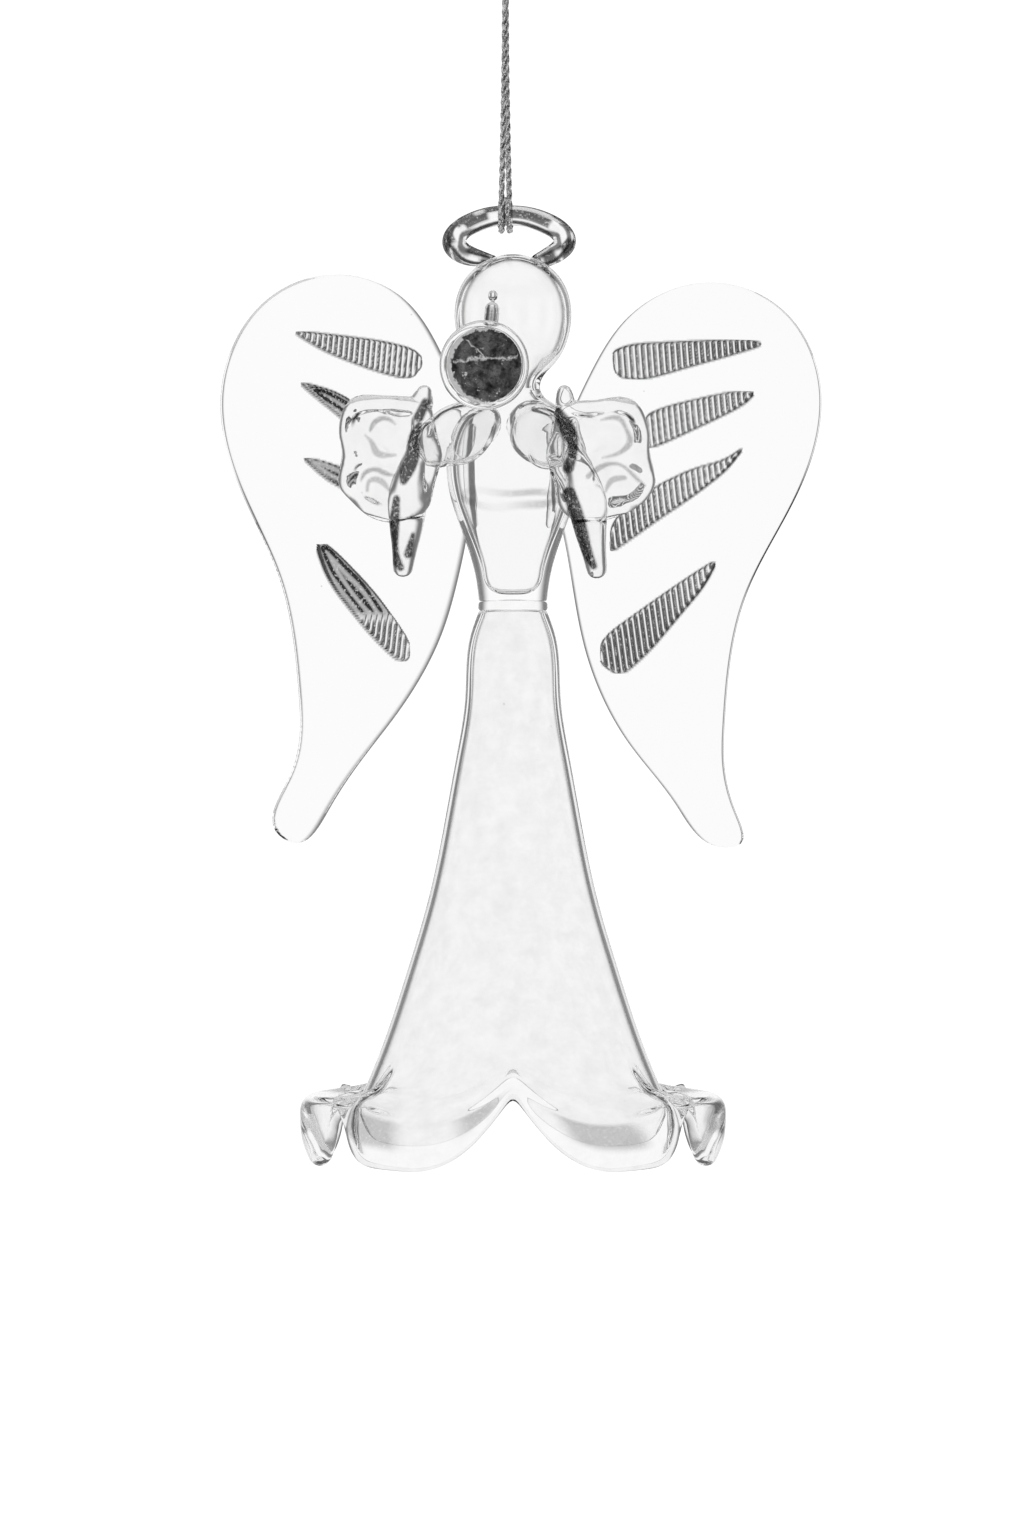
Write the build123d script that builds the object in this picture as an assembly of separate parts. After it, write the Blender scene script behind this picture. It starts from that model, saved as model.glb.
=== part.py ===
from build123d import *
import math
import os

# A lampworked glass angel on a loop of silver cord, in millimetres, +Z up, facing -Y.
# The origin is the hang point, the inside of the cord's loop just under its knot.
# Left is -X. Pairs of pieces are shaped by hand, so left and right differ a little.

# ---- driving dimensions ----
BODY_X, BODY_Y = 0.97, -4.55       # the figure's axis, placed so that it hangs upright
Z_HALO = -46.0                     # the halo rod's centre where the cord holds it
Z_HEAD = -51.5
Z_NECK_TOP, Z_NECK_BOTTOM = -67.9, -69.1
Z_WAIST_TOP, Z_WAIST_BOTTOM = -96.3, -97.6
Z_HEM = -168.4

CORD = 0.8                         # cord diameter
LOOP_SPREAD = 0.8                  # half the distance between the legs at the hang point
Z_LEG_TOP = -0.5
Z_LEG_BEND = -21.0
Z_HITCH = -42.0                    # where the legs end and the turns on the halo begin
HITCH_GAP = 0.1
HALO_CLEARANCE = 0.12              # between the cord and the halo's rod
KNOT_RADIUS = 1.4
KNOT_GAP = 0.05                    # from the hang point up to the knot
TAIL_LENGTH = 5.0
TAIL_FOOT_X = 0.5                  # half the distance between the two tails at the knot
TAIL_SPREAD_X, TAIL_SPREAD_Y = 1.7, 0.4   # the same at their tips
TAIL_SINK = 0.1                    # how far a tail's foot starts inside the knot

HALO_ROD = 2.8
HALO_TOP_RADIUS, HALO_TOP_ANGLE = 9.0, 42.0
HALO_SIDE_RADIUS, HALO_SIDE_ANGLE = 3.4, 108.0
HALO_FOOT = 1.9
HALO_CENTRE = 0.48
HALO_RISE = 6.0                    # from the head's crown up to the rod's centre

HEAD_WALL, TORSO_WALL, SKIRT_WALL = 0.8, 1.3, 0.8
NECK_RADIUS = 3.7
WAIST_RADIUS, WAIST_EDGE = 4.5, 0.3    # the joint's disc and its rounded edge

LOBES = 6
LOBE_RADIUS = 13.2                 # each lobe's rounded lower edge, seen from outside
PINCH_RADIUS, PINCH_AT = 4.2, 29.6  # the notch between two lobes, and how far out its centre is
PINCH_RISE = 0.6                   # how far below the bell's end the scallops begin
LOBE_REACH = 30.0                  # past the hem, so that a lobe's tool clears it

LEFT_WING_THICK, RIGHT_WING_THICK = 2.33, 2.07
WING_EDGE = 0.7                    # radius of the plates' rounded edges
GROOVE_DEPTH = 0.6
GROOVE_BELLY = 0.36                # how far a groove's sides bow, as a share of its blunt end
LEFT_SWEEP, RIGHT_SWEEP = 26.0, 15.0
LEFT_WING_X, RIGHT_WING_X = -6.5, 7.4
WING_BACK = 7.0                    # from the figure's axis back to the wings' roots

LEFT_SEAM_X, RIGHT_SEAM_X = -5.2, 6.8
SEAM_LEAN = 0.5                    # how much nearer the axis a seam's lower end is
SEAM_TOP_BACK, SEAM_LOW_BACK = 5.6, 5.0   # from the figure's axis back to each end
Z_SEAM_TOP, Z_SEAM_LOW = -73.5, -87.0
SEAM_TOP_RADIUS, SEAM_LOW_RADIUS = 2.5, 2.1

SHOULDER_RADIUS, ELBOW_RADIUS, HAND_RADIUS = 3.7, 2.9, 1.25
SLEEVE_THICK = 2.4
WAVE_HEIGHT, WAVE_LENGTH = 0.7, 6.0   # the plate's level waves, and the first one's crest
Z_WAVE_START = -69.0
WAVE_POINTS = 20                   # one each millimetre down the plate
PLATE_CUTTER, WAVE_CUTTER = 5.0, 14.0   # half the depths of the two shapes a plate is cut from
DROP_TOP, DROP_MIDDLE, DROP_TIP = 1.35, 2.1, 1.0   # radii down the sleeve's drop

# ---- outlines: (distance from the axis, height) of turned shapes ----
HEAD = [(0, Z_HEAD), (3.6, -52.4), (6.3, -54.8), (7.55, -59.0), (7.2, -62.0), (5.4, -65.6),
        (3.7, Z_NECK_TOP)]
TORSO = [(3.7, Z_NECK_BOTTOM), (5.6, -71.0), (7.9, -74.4), (8.6, -78.8), (7.6, -84.5),
         (6.1, -88.6), (4.9, -92.8), (4.4, Z_WAIST_TOP)]
BELL = [(4.4, Z_WAIST_BOTTOM), (5.6, -101.2), (6.2, -109.0), (7.3, -116.3), (8.9, -125.2),
        (10.9, -134.7), (13.3, -142.9), (17.3, -154.8), (20.0, -159.6)]
HEM = [(20.0, -159.6), (23.0, -160.8), (25.6, -161.8), (27.3, -163.8), (27.5, -166.4),
       (26.9, Z_HEM)]

# ---- outlines in the plane of each wing: (distance outward from the root, height) ----
LEFT_WING = [(2.6, -64.1), (8.1, -56.4), (18.6, -52.6), (29.8, -56.7), (35.3, -67.6),
             (33.0, -79.4), (26.3, -93.2), (23.6, -107.6), (24.9, -118.8), (27.2, -126.0),
             (24.6, -127.8), (19.4, -123.1), (9.1, -110.3), (3.1, -100.8), (0.4, -92.7),
             (-1.6, -80.0), (0.0, -70.0)]
RIGHT_WING = [(4.1, -66.3), (8.8, -59.2), (20.4, -53.9), (31.3, -58.1), (35.6, -66.8),
              (32.1, -82.4), (25.2, -95.5), (22.4, -112.0), (23.8, -123.3), (24.7, -127.8),
              (22.0, -128.3), (15.8, -122.6), (9.4, -114.6), (3.5, -102.5), (0.7, -88.3),
              (-0.6, -80.0), (1.4, -72.0)]
# Each feather groove: its pointed outer tip, then the upper and lower corners of its blunt end.
LEFT_GROOVES = [((24.6, -59.9), (4.4, -63.6), (4.6, -67.2)),
                ((23.6, -66.6), (12.0, -70.2), (12.0, -74.6)),
                ((23.0, -76.6), (11.5, -80.4), (11.0, -85.0)),
                ((20.6, -88.4), (7.0, -101.2), (8.8, -104.2))]
RIGHT_GROOVES = [((27.7, -62.1), (5.9, -63.6), (7.2, -67.8)),
                 ((26.7, -68.2), (9.4, -71.6), (9.4, -77.2)),
                 ((25.2, -75.3), (6.8, -85.0), (6.5, -90.0)),
                 ((21.5, -90.1), (5.2, -101.2), (7.2, -106.2))]


# ---- shaping ----
def inset(points, wall):
    """The points moved inward by the wall, at right angles to the outline through them."""
    moved = []
    for i, (r, z) in enumerate(points):
        before, after = points[max(i - 1, 0)], points[min(i + 1, len(points) - 1)]
        dr, dz = after[0] - before[0], after[1] - before[1]
        size = math.hypot(dr, dz)
        moved.append((0, z - wall) if r == 0 else (r + dz / size * wall, z - dr / size * wall))
    return moved


def level_end(points, z):
    """The points with the last one brought to a height."""
    return points[:-1] + [(points[-1][0], z)]


def turned(edges):
    """The solid made by turning a closed outline about the figure's axis."""
    face = Plane.XZ * Face(Wire(edges))
    return Pos(BODY_X, BODY_Y, 0) * revolve(face, Axis.Z)


def filled(outline):
    """The solid inside a turned outline, down to its last point."""
    side = Spline(*outline)
    top, bottom = outline[0], outline[-1]
    edges = [side, Line(bottom, (0, bottom[1])), Line((0, bottom[1]), (0, top[1]))]
    if top[0] > 0:
        edges.append(Line((0, top[1]), top))
    return turned(edges)


def capsule(start, end, start_radius, end_radius):
    """A round-ended bar that tapers from one radius to the other."""
    axis = Vector(*end) - Vector(*start)
    lean = math.degrees(math.asin((start_radius - end_radius) / axis.length))

    def on_ball(radius, along, angle):
        turn = math.radians(angle)
        return (radius * math.cos(turn), along + radius * math.sin(turn))

    first = [on_ball(start_radius, 0, angle) for angle in (-90, (lean - 90) / 2, lean)]
    last = [on_ball(end_radius, axis.length, angle) for angle in (lean, (lean + 90) / 2, 90)]
    outline = [ThreePointArc(*first), Line(first[2], last[0]), ThreePointArc(*last),
               Line(last[2], first[0])]
    bar = revolve(Plane.XZ * make_face(outline), Axis.Z)
    return Plane(origin=start, z_dir=axis) * bar


def corner_radii(points):
    """Each corner's radius: 0.45 of its shorter run, over the tangent of half its turn."""
    radii = []
    for a, b, c in zip(points, points[1:], points[2:]):
        into, out = Vector(*b) - Vector(*a), Vector(*c) - Vector(*b)
        half_turn = math.radians(into.get_angle(out)) / 2
        radii.append(0.45 * min(into.length, out.length) / math.tan(half_turn))
    return radii


def tube(points, radii, diameter):
    """A round tube along straight runs joined by tangent arcs."""
    path = FilletPolyline(*points, radius=radii) if radii else Line(*points)
    start = path.edges()[0] if radii else path
    solid = sweep(Plane(origin=points[0], z_dir=start % 0) * Circle(diameter / 2), path=path)
    expected = math.pi * diameter**2 / 4 * path.length
    print(f"tube {path.length:.1f} long, radii {[round(r, 2) for r in radii]}, "
          f"volume {solid.volume:.2f} for {expected:.2f}")
    return solid


# ---- hollow body ----
def make_head():
    outside = Spline(*HEAD, tangents=[(1, 0), (-0.5, -1)])
    inner = level_end(inset(HEAD, HEAD_WALL), Z_NECK_TOP)
    inside = Spline(*inner, tangents=[(1, 0), (-0.5, -1)])
    return turned([outside, Line(HEAD[-1], inner[-1]), inside, Line(inner[0], HEAD[0])])


def make_shell(outline, wall):
    """A hollow turned wall, open at both ends."""
    inner = inset(outline, wall)
    inner = [(inner[0][0], outline[0][1])] + level_end(inner, outline[-1][1])[1:]
    return turned([Spline(*outline), Line(outline[-1], inner[-1]), Spline(*inner),
                   Line(inner[0], outline[0])])


def make_neck():
    height = Z_NECK_TOP - Z_NECK_BOTTOM
    return Pos(BODY_X, BODY_Y, (Z_NECK_TOP + Z_NECK_BOTTOM) / 2) * Cylinder(NECK_RADIUS, height)


def make_waist():
    height = Z_WAIST_TOP - Z_WAIST_BOTTOM
    disc = Cylinder(WAIST_RADIUS, height)
    disc = fillet(disc.edges().filter_by(GeomType.CIRCLE), WAIST_EDGE)
    return Pos(BODY_X, BODY_Y, (Z_WAIST_TOP + Z_WAIST_BOTTOM) / 2) * disc


def make_skirt():
    """The bell, its flared hem, and the scallops between the hem's lobes."""
    skirt = make_shell(BELL + HEM[1:], SKIRT_WALL)
    above = 3 * LOBE_REACH
    kept = Pos(0, 0, BELL[-1][1] - PINCH_RISE + above / 2) * Box(above, above, above)
    turns = [Rot(0, 0, 360 / LOBES * i) for i in range(LOBES)]
    for turn in turns:
        level = Pos(LOBE_REACH / 2, 0, Z_HEM + LOBE_RADIUS) * Rot(0, 90, 0)
        kept += turn * level * Cylinder(LOBE_RADIUS, LOBE_REACH)
    skirt &= Pos(BODY_X, BODY_Y, 0) * kept
    for turn in turns:
        notch = turn * Pos(0, -PINCH_AT, Z_HEM) * Cylinder(PINCH_RADIUS, LOBE_REACH)
        skirt -= Pos(BODY_X, BODY_Y, 0) * notch
    return skirt


# ---- halo ----
def make_halo(head):
    """A bent rod, open at the bottom, whose two ends melt onto the head's crown."""
    lean = math.degrees(math.atan2(-BODY_Y, HALO_RISE))
    upright = Plane(origin=(HALO_CENTRE, 0, Z_HALO), x_dir=(1, 0, 0),
                    z_dir=Vector(0, -1, 0).rotate(Axis.X, -lean))
    halo = None
    for side in (1, -1):
        top = JernArc((0, 0), (side, 0), HALO_TOP_RADIUS, -side * HALO_TOP_ANGLE)
        bend = JernArc(top @ 1, top % 1, HALO_SIDE_RADIUS, -side * HALO_SIDE_ANGLE)
        foot = Line(bend @ 1, bend @ 1 + (bend % 1) * HALO_FOOT)
        path = upright * Wire([top, bend, foot])
        start = Plane(origin=path @ 0, z_dir=path % 0)
        half = sweep(start * Circle(HALO_ROD / 2), path=path)
        half += Pos(*(path @ 1)) * Sphere(HALO_ROD / 2)
        halo = half if halo is None else halo + half
    return halo - head


# ---- wings ----
def make_wing(outline, grooves, root_x, sweep_angle, thick, side, torso):
    """A flat pressed plate, swept back from its root, with the feather grooves in its front."""
    lean = math.radians(sweep_angle)
    outward = Vector(side * math.cos(lean), math.sin(lean), 0)
    facing = outward.cross(Vector(0, 0, 1))
    plane = Plane(origin=(root_x, BODY_Y + WING_BACK, 0), x_dir=outward, z_dir=facing)
    back = thick if facing.Y > 0 else -thick
    wing = extrude(plane * Face(Wire(Spline(*outline, periodic=True))), back)
    wing = fillet(wing.edges(), WING_EDGE)
    for tip, upper, lower in [[Vector(*corner) for corner in groove] for groove in grooves]:
        middle = (tip + (upper + lower) / 2) / 2
        belly = (upper - lower) * GROOVE_BELLY
        groove = Face(Wire([ThreePointArc(tip, middle + belly, upper), Line(upper, lower),
                            ThreePointArc(lower, middle - belly, tip)]))
        wing -= extrude(plane * groove, math.copysign(GROOVE_DEPTH, back))
    return wing - torso


def make_seam(x, side):
    """The bead of glass that joins a wing's root to the back."""
    top = (x, BODY_Y + SEAM_TOP_BACK, Z_SEAM_TOP)
    low = (x - side * SEAM_LEAN, BODY_Y + SEAM_LOW_BACK, Z_SEAM_LOW)
    return capsule(top, low, SEAM_TOP_RADIUS, SEAM_LOW_RADIUS)


# ---- arms and sleeves: named from the shoulder to the hand ----
LEFT = {
    "shoulder": (-3.6, BODY_Y - 6.0, -74.0), "elbow": (-8.6, BODY_Y - 9.6, -75.6),
    "drop_top": (-10.7, BODY_Y - 10.4, -70.7), "drop_tip": (-13.0, BODY_Y - 10.8, -92.2),
    "hand": (-10.1, BODY_Y - 10.7, -70.3),
    "sleeve_inner": (-11.6, BODY_Y - 10.3), "sleeve_turn": 20.0,
    "sleeve": [(0, -70.9), (8.6, -70.6), (9.6, -71.6), (9.9, -82.4), (9.0, -83.6), (4.6, -86.4),
               (0.6, -86.0)],
}
RIGHT = {
    "shoulder": (3.6, BODY_Y - 6.4, -74.0), "elbow": (5.4, BODY_Y - 9.4, -75.8),
    "drop_top": (7.6, BODY_Y - 10.4, -70.7), "drop_tip": (11.6, BODY_Y - 10.8, -92.4),
    "hand": (7.3, BODY_Y - 10.7, -70.3),
    "sleeve_inner": (8.3, BODY_Y - 10.2), "sleeve_turn": 20.0,
    "sleeve": [(0, -71.2), (7.4, -70.4), (9.4, -71.4), (11.3, -79.4), (10.8, -83.0), (5.4, -86.1),
               (1.6, -86.4)],
}


def make_sleeve(arm, side):
    """A pressed plate with three level waves, reaching outward and a little back."""
    x, y = arm["sleeve_inner"]
    turn = math.radians(arm["sleeve_turn"])
    outward = Vector(side * math.cos(turn), math.sin(turn), 0)
    plane = Plane(origin=(x, y, 0), x_dir=outward, z_dir=outward.cross(Vector(0, 0, 1)))
    plate = plane * Face(Wire(Polyline(*arm["sleeve"], close=True)))
    outline = extrude(plate, PLATE_CUTTER, both=True)
    wave = [(WAVE_HEIGHT * math.cos(2 * math.pi * i / WAVE_LENGTH), Z_WAVE_START - i)
            for i in range(WAVE_POINTS)]
    front = Spline(*[(w - SLEEVE_THICK / 2, z) for w, z in wave])
    rear = Spline(*[(w + SLEEVE_THICK / 2, z) for w, z in wave])
    section = Face(Wire([front, Line(front @ 1, rear @ 1), rear, Line(rear @ 0, front @ 0)]))
    across = Plane(origin=(x, y, 0), x_dir=plane.z_dir, z_dir=plane.z_dir.cross(Vector(0, 0, 1)))
    return outline & extrude(across * section, WAVE_CUTTER, both=True)


def make_drop(arm):
    """A drop of glass hanging at the sleeve's mouth, widest at its middle."""
    top, tip = Vector(*arm["drop_top"]), Vector(*arm["drop_tip"])
    middle = (top + tip) / 2
    upper = capsule(top, middle, DROP_TOP, DROP_MIDDLE)
    return upper + capsule(middle, tip, DROP_MIDDLE, DROP_TIP)


# ---- horn ----
MOUTH = (-1.6, BODY_Y - 7.5, -57.5)
HORN_BELL = (-2.6, BODY_Y - 25.0, -67.7)   # the centre of the bell's open end
HORN_TILT = 6.0                    # the bell looks down by this much
HORN_THROAT = 6.0                  # depth of the flare
# The flare from the throat forward: (radius, depth). Its last point is where the rim's edge turns.
FLARE = [(0.9, 0.0), (1.3, 1.8), (2.6, 4.0), (5.3, 5.5)]
BELL_RIM, MIRROR_RADIUS, MIRROR_DEPTH, MIRROR_THICK = 5.6, 4.7, 0.5, 0.4
HORN_TUBE = 1.7
BEAD_RADIUS = 0.75


def make_horn():
    """The solid flared bell with its dished front, the mirror disc, the tube and the bead."""
    dish = HORN_THROAT - MIRROR_DEPTH
    face = Polyline(FLARE[-1], (BELL_RIM, HORN_THROAT), (MIRROR_RADIUS, HORN_THROAT),
                    (MIRROR_RADIUS, dish), (0, dish), (0, 0), FLARE[0])
    forward = Vector(0, -1, 0).rotate(Axis.X, HORN_TILT)
    throat = Vector(*HORN_BELL) - forward * HORN_THROAT
    placed = Plane(origin=throat, z_dir=forward)
    bell = placed * revolve(Plane.XZ * Face(Wire([Spline(*FLARE), *face.edges()])), Axis.Z)
    mirror = placed * Pos(0, 0, dish + MIRROR_THICK / 2) * Cylinder(MIRROR_RADIUS, MIRROR_THICK)
    bead = Pos(*MOUTH) * Sphere(BEAD_RADIUS)
    route = [MOUTH, (-2.0, BODY_Y - 12.6, -63.2), (-2.5, BODY_Y - 16.2, -66.2), tuple(throat)]
    horn_tube = tube(route, corner_radii(route), HORN_TUBE)
    return bell, mirror, horn_tube - bell, bead


# ---- cord ----
LEG_HALF = 1.76                    # half the distance between the legs where the turns begin
LEG_BEND_HALF = 1.25               # the same at the legs' slight bend
LEG_SIDE = 0.42                    # how far a leg stands to its own side of the halo's middle
TURN_STEPS = (-0.68, -0.42, -0.12, 0.15, 0.42, 0.68)   # the turns' corners along the halo's rod
TURN_SLACK = 0.05                  # how much tighter the turns' corners are than a half circle


def leg_route(side):
    """One leg of the loop: -1 is the front leg, 1 the rear leg."""
    return [(0, side * LOOP_SPREAD, Z_LEG_TOP), (0, side * LEG_BEND_HALF, Z_LEG_BEND),
            (side * LEG_SIDE, side * LEG_HALF, Z_HITCH)]


def make_hitch():
    """One and a half turns round the halo's rod, from the front leg to the rear leg."""
    reach = HALO_ROD / 2 + CORD / 2 + HALO_CLEARANCE
    low, high = Z_HALO - reach, Z_HALO + reach
    corners = [(-reach, low), (reach, low), (reach, high), (-reach, high), (-reach, low), (reach, low)]
    turns = [(x, *corner) for x, corner in zip(TURN_STEPS, corners)]
    route = [(-LEG_SIDE, -LEG_HALF, Z_HITCH - HITCH_GAP), *turns,
             (LEG_SIDE, LEG_HALF, Z_HITCH - HITCH_GAP)]
    return tube(route, [reach - TURN_SLACK] * len(turns), CORD)


def make_knot():
    return Pos(0, 0, KNOT_RADIUS + KNOT_GAP) * Sphere(KNOT_RADIUS)


def make_tails():
    """The two cut ends of the cord above the knot."""
    tails = []
    for side in (-1, 1):
        foot = (side * TAIL_FOOT_X, 0, 2 * KNOT_RADIUS - TAIL_SINK)
        tip = (side * TAIL_SPREAD_X, -side * TAIL_SPREAD_Y, 2 * KNOT_RADIUS + TAIL_LENGTH)
        tails.append(tube([foot, tip], [], CORD) - make_knot())
    return Compound(children=tails)


# ---- assembly ----
head_inside = filled(HEAD)
torso_inside = filled(TORSO)
body = head_inside + torso_inside

parts = {
    "skirt": make_skirt(),
    "waist_joint": make_waist(),
    "torso": make_shell(TORSO, TORSO_WALL),
    "neck": make_neck(),
    "head": make_head(),
    "halo_loop": make_halo(head_inside),
    "left_wing": make_wing(LEFT_WING, LEFT_GROOVES, LEFT_WING_X, LEFT_SWEEP, LEFT_WING_THICK, -1,
                           torso_inside),
    "right_wing": make_wing(RIGHT_WING, RIGHT_GROOVES, RIGHT_WING_X, RIGHT_SWEEP, RIGHT_WING_THICK, 1,
                            torso_inside),
}
parts["left_wing_seam"] = make_seam(LEFT_SEAM_X, -1) - body - parts["left_wing"]
parts["right_wing_seam"] = make_seam(RIGHT_SEAM_X, 1) - body - parts["right_wing"]

for name, arm, side in (("left", LEFT, -1), ("right", RIGHT, 1)):
    drop = make_drop(arm)
    upper_arm = capsule(arm["shoulder"], arm["elbow"], SHOULDER_RADIUS, ELBOW_RADIUS) - body - drop
    sleeve = make_sleeve(arm, side) - drop - upper_arm
    parts[f"{name}_arm"] = upper_arm
    parts[f"{name}_sleeve_drop"] = drop
    parts[f"{name}_sleeve"] = sleeve
    parts[f"{name}_hand"] = Pos(*arm["hand"]) * Sphere(HAND_RADIUS) - drop - sleeve - upper_arm

horn_bell, horn_mirror, horn_tube, mouthpiece = make_horn()
parts["horn_bell"] = horn_bell
parts["horn_mirror"] = horn_mirror
parts["horn_mouthpiece"] = mouthpiece - head_inside
parts["horn_tube"] = horn_tube - mouthpiece - head_inside

for name, side in (("front", -1), ("rear", 1)):
    route = leg_route(side)
    parts[f"cord_{name}_leg"] = tube(route, corner_radii(route), CORD)
parts["cord_hitch"] = make_hitch()
parts["cord_knot"] = make_knot()
parts["cord_tails"] = make_tails()

os.makedirs("parts", exist_ok=True)
for name, shape in parts.items():
    export_step(shape, f"parts/{name}.step")
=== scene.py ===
import math

import bmesh
import bpy
import numpy as np
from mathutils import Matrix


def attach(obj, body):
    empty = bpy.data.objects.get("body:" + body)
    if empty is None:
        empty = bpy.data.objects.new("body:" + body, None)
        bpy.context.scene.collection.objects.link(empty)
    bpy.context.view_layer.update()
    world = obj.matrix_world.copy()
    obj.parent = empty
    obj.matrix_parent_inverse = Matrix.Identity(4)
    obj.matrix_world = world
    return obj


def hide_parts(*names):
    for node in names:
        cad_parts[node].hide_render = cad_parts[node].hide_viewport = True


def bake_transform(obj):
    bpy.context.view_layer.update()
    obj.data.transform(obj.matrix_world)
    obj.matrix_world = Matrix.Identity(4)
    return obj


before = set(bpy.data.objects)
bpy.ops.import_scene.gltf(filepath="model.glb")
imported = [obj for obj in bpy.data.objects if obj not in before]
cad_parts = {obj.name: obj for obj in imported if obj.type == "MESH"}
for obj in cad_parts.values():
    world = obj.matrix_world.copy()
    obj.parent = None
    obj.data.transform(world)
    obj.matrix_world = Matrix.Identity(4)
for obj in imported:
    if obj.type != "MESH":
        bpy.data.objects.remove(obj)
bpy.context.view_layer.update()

# Lengths are in millimetres up to the point where a mesh is made.
MM = 0.001
BODY_X, BODY_Y = 0.97, -4.55  # the figure's axis
AXIS = np.array([BODY_X, BODY_Y, 0.0])
GAP = 0.02  # between two pieces of glass that touch
HORN_BELL = np.array([-2.6, BODY_Y - 25.0, -67.7])  # the middle of the horn's open end


# ---- camera
link = bpy.context.scene.collection.objects.link
EYE = (0.85, -700.0, -117.84)
SENSOR, LENS = 36.0, 126.2
NEAREST, FARTHEST = 0.01, 20  # metres

camera_data = bpy.data.cameras.new("camera")
camera_data.sensor_fit = "VERTICAL"
camera_data.sensor_height = SENSOR
camera_data.lens = LENS
camera_data.clip_start, camera_data.clip_end = NEAREST, FARTHEST
camera = bpy.data.objects.new("camera", camera_data)
camera.location = [c * MM for c in EYE]
camera.rotation_euler = (math.radians(90), 0, 0)
link(camera)
bpy.context.scene.camera = camera


# ---- nodes
class Tree:
    """A node tree that is written as nested calls."""

    def __init__(self, tree):
        self.tree = tree
        tree.nodes.clear()

    def add(self, kind, inputs=None, **settings):
        node = self.tree.nodes.new(kind)
        for name, value in settings.items():
            setattr(node, name, value)
        for name, value in (inputs or {}).items():
            if isinstance(value, bpy.types.NodeSocket):
                self.tree.links.new(value, node.inputs[name])
            else:
                node.inputs[name].default_value = value
        return node

    def math(self, operation, a, b=0.0, clamp=False):
        return self.add("ShaderNodeMath", {0: a, 1: b}, operation=operation, use_clamp=clamp).outputs[0]

    def times(self, a, b):
        return self.math("MULTIPLY", a, b)

    def minus(self, a, b, clamp=False):
        return self.math("SUBTRACT", a, b, clamp)

    def ramp(self, value, low, high, to_low=0.0, to_high=1.0):
        """The value brought smoothly from one range to another."""
        names = {"Value": value, "From Min": low, "From Max": high, "To Min": to_low, "To Max": to_high}
        return self.add("ShaderNodeMapRange", names, interpolation_type="SMOOTHSTEP").outputs[0]

    def mix(self, factor, a, b):
        return self.add("ShaderNodeMix", {0: factor, 6: a, 7: b}, data_type="RGBA").outputs[2]

    def noise(self, where, scale, detail=2.0, roughness=0.5):
        names = {"Vector": where, "Scale": scale, "Detail": detail, "Roughness": roughness}
        return self.add("ShaderNodeTexNoise", names).outputs[0]

    def grey(self, value):
        return self.add("ShaderNodeCombineColor", {0: value, 1: value, 2: value}).outputs[0]


def new_material(name):
    material = bpy.data.materials.new(name)
    material.use_nodes = True
    tree = Tree(material.node_tree)
    where = tree.add("ShaderNodeTexCoord").outputs["Object"]
    return material, tree, where


def surface(tree, shader):
    output = tree.add("ShaderNodeOutputMaterial")
    tree.tree.links.new(shader.outputs[0], output.inputs["Surface"])


CELLS = 330.0  # cells a metre that may each hold a speck
NO_SPECK = 0.9  # the share of cells without one
SPECK_DARK = 0.45
SHADE_BREAKUP_SCALE = 2600.0  # fine breaks in the painted shade
LEAST_PAINTED_SHADE = 0.72  # what the breaks leave of the painted shade
FINE_WAVE, FINE_SHARE = 7, 0.06  # a second wave: how much finer, and how much lower


def glass_material(name, clear=0.965, ior=1.5, mottle=0.0, mottle_scale=260.0, wave=0.01, wave_scale=150.0,
                   painted_shade=0.0):
    """Clear hand-worked glass: slow waves in its surface, faint clouds and a few specks in its tone.

    The last argument is how dark the painted shade is where the mesh's own shade attribute says that it lies:
    dark refractions and reflections painted into the glass's tone."""
    material, tree, where = new_material(name)
    cell = tree.add("ShaderNodeTexVoronoi", {"Vector": where, "Scale": CELLS, "Randomness": 1.0})
    speck = tree.ramp(cell.outputs["Distance"], 0.03, 0.055, 1.0, 0.0)
    chosen = tree.add("ShaderNodeSeparateColor", {0: cell.outputs["Color"]}).outputs[0]
    speck = tree.times(speck, tree.math("GREATER_THAN", chosen, NO_SPECK))
    cloud = tree.noise(where, mottle_scale, 5.0, 0.65)
    tone = tree.minus(clear, tree.times(tree.ramp(cloud, 0.35, 0.7), mottle))
    tone = tree.minus(tone, tree.times(speck, SPECK_DARK), True)
    # Painted shade: the tone is darkened where the mesh's shade attribute lies.
    if painted_shade:
        shade = tree.add("ShaderNodeAttribute", attribute_name="shade").outputs["Fac"]
        shade_breakup = tree.ramp(tree.noise(where, SHADE_BREAKUP_SCALE, 3.0, 0.7), 0.32, 0.47, LEAST_PAINTED_SHADE, 1.0)
        shade = tree.times(tree.times(shade, shade_breakup), painted_shade)
        tone = tree.times(tone, tree.minus(1.0, shade))
    waves = tree.noise(where, wave_scale, 1.0)
    fine = tree.noise(where, wave_scale * FINE_WAVE, 1.0)
    height = tree.math("ADD", waves, tree.times(fine, FINE_SHARE))
    bump = tree.add("ShaderNodeBump", {"Strength": wave, "Distance": 0.004, "Height": height})
    shader = tree.add("ShaderNodeBsdfPrincipled", {
        "Base Color": tree.grey(tone), "Roughness": 0.0, "IOR": ior,
        "Transmission Weight": 1.0, "Normal": bump.outputs[0]})
    surface(tree, shader)
    return material


FOIL_SCALE = 5200.0  # foil strips a metre


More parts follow.
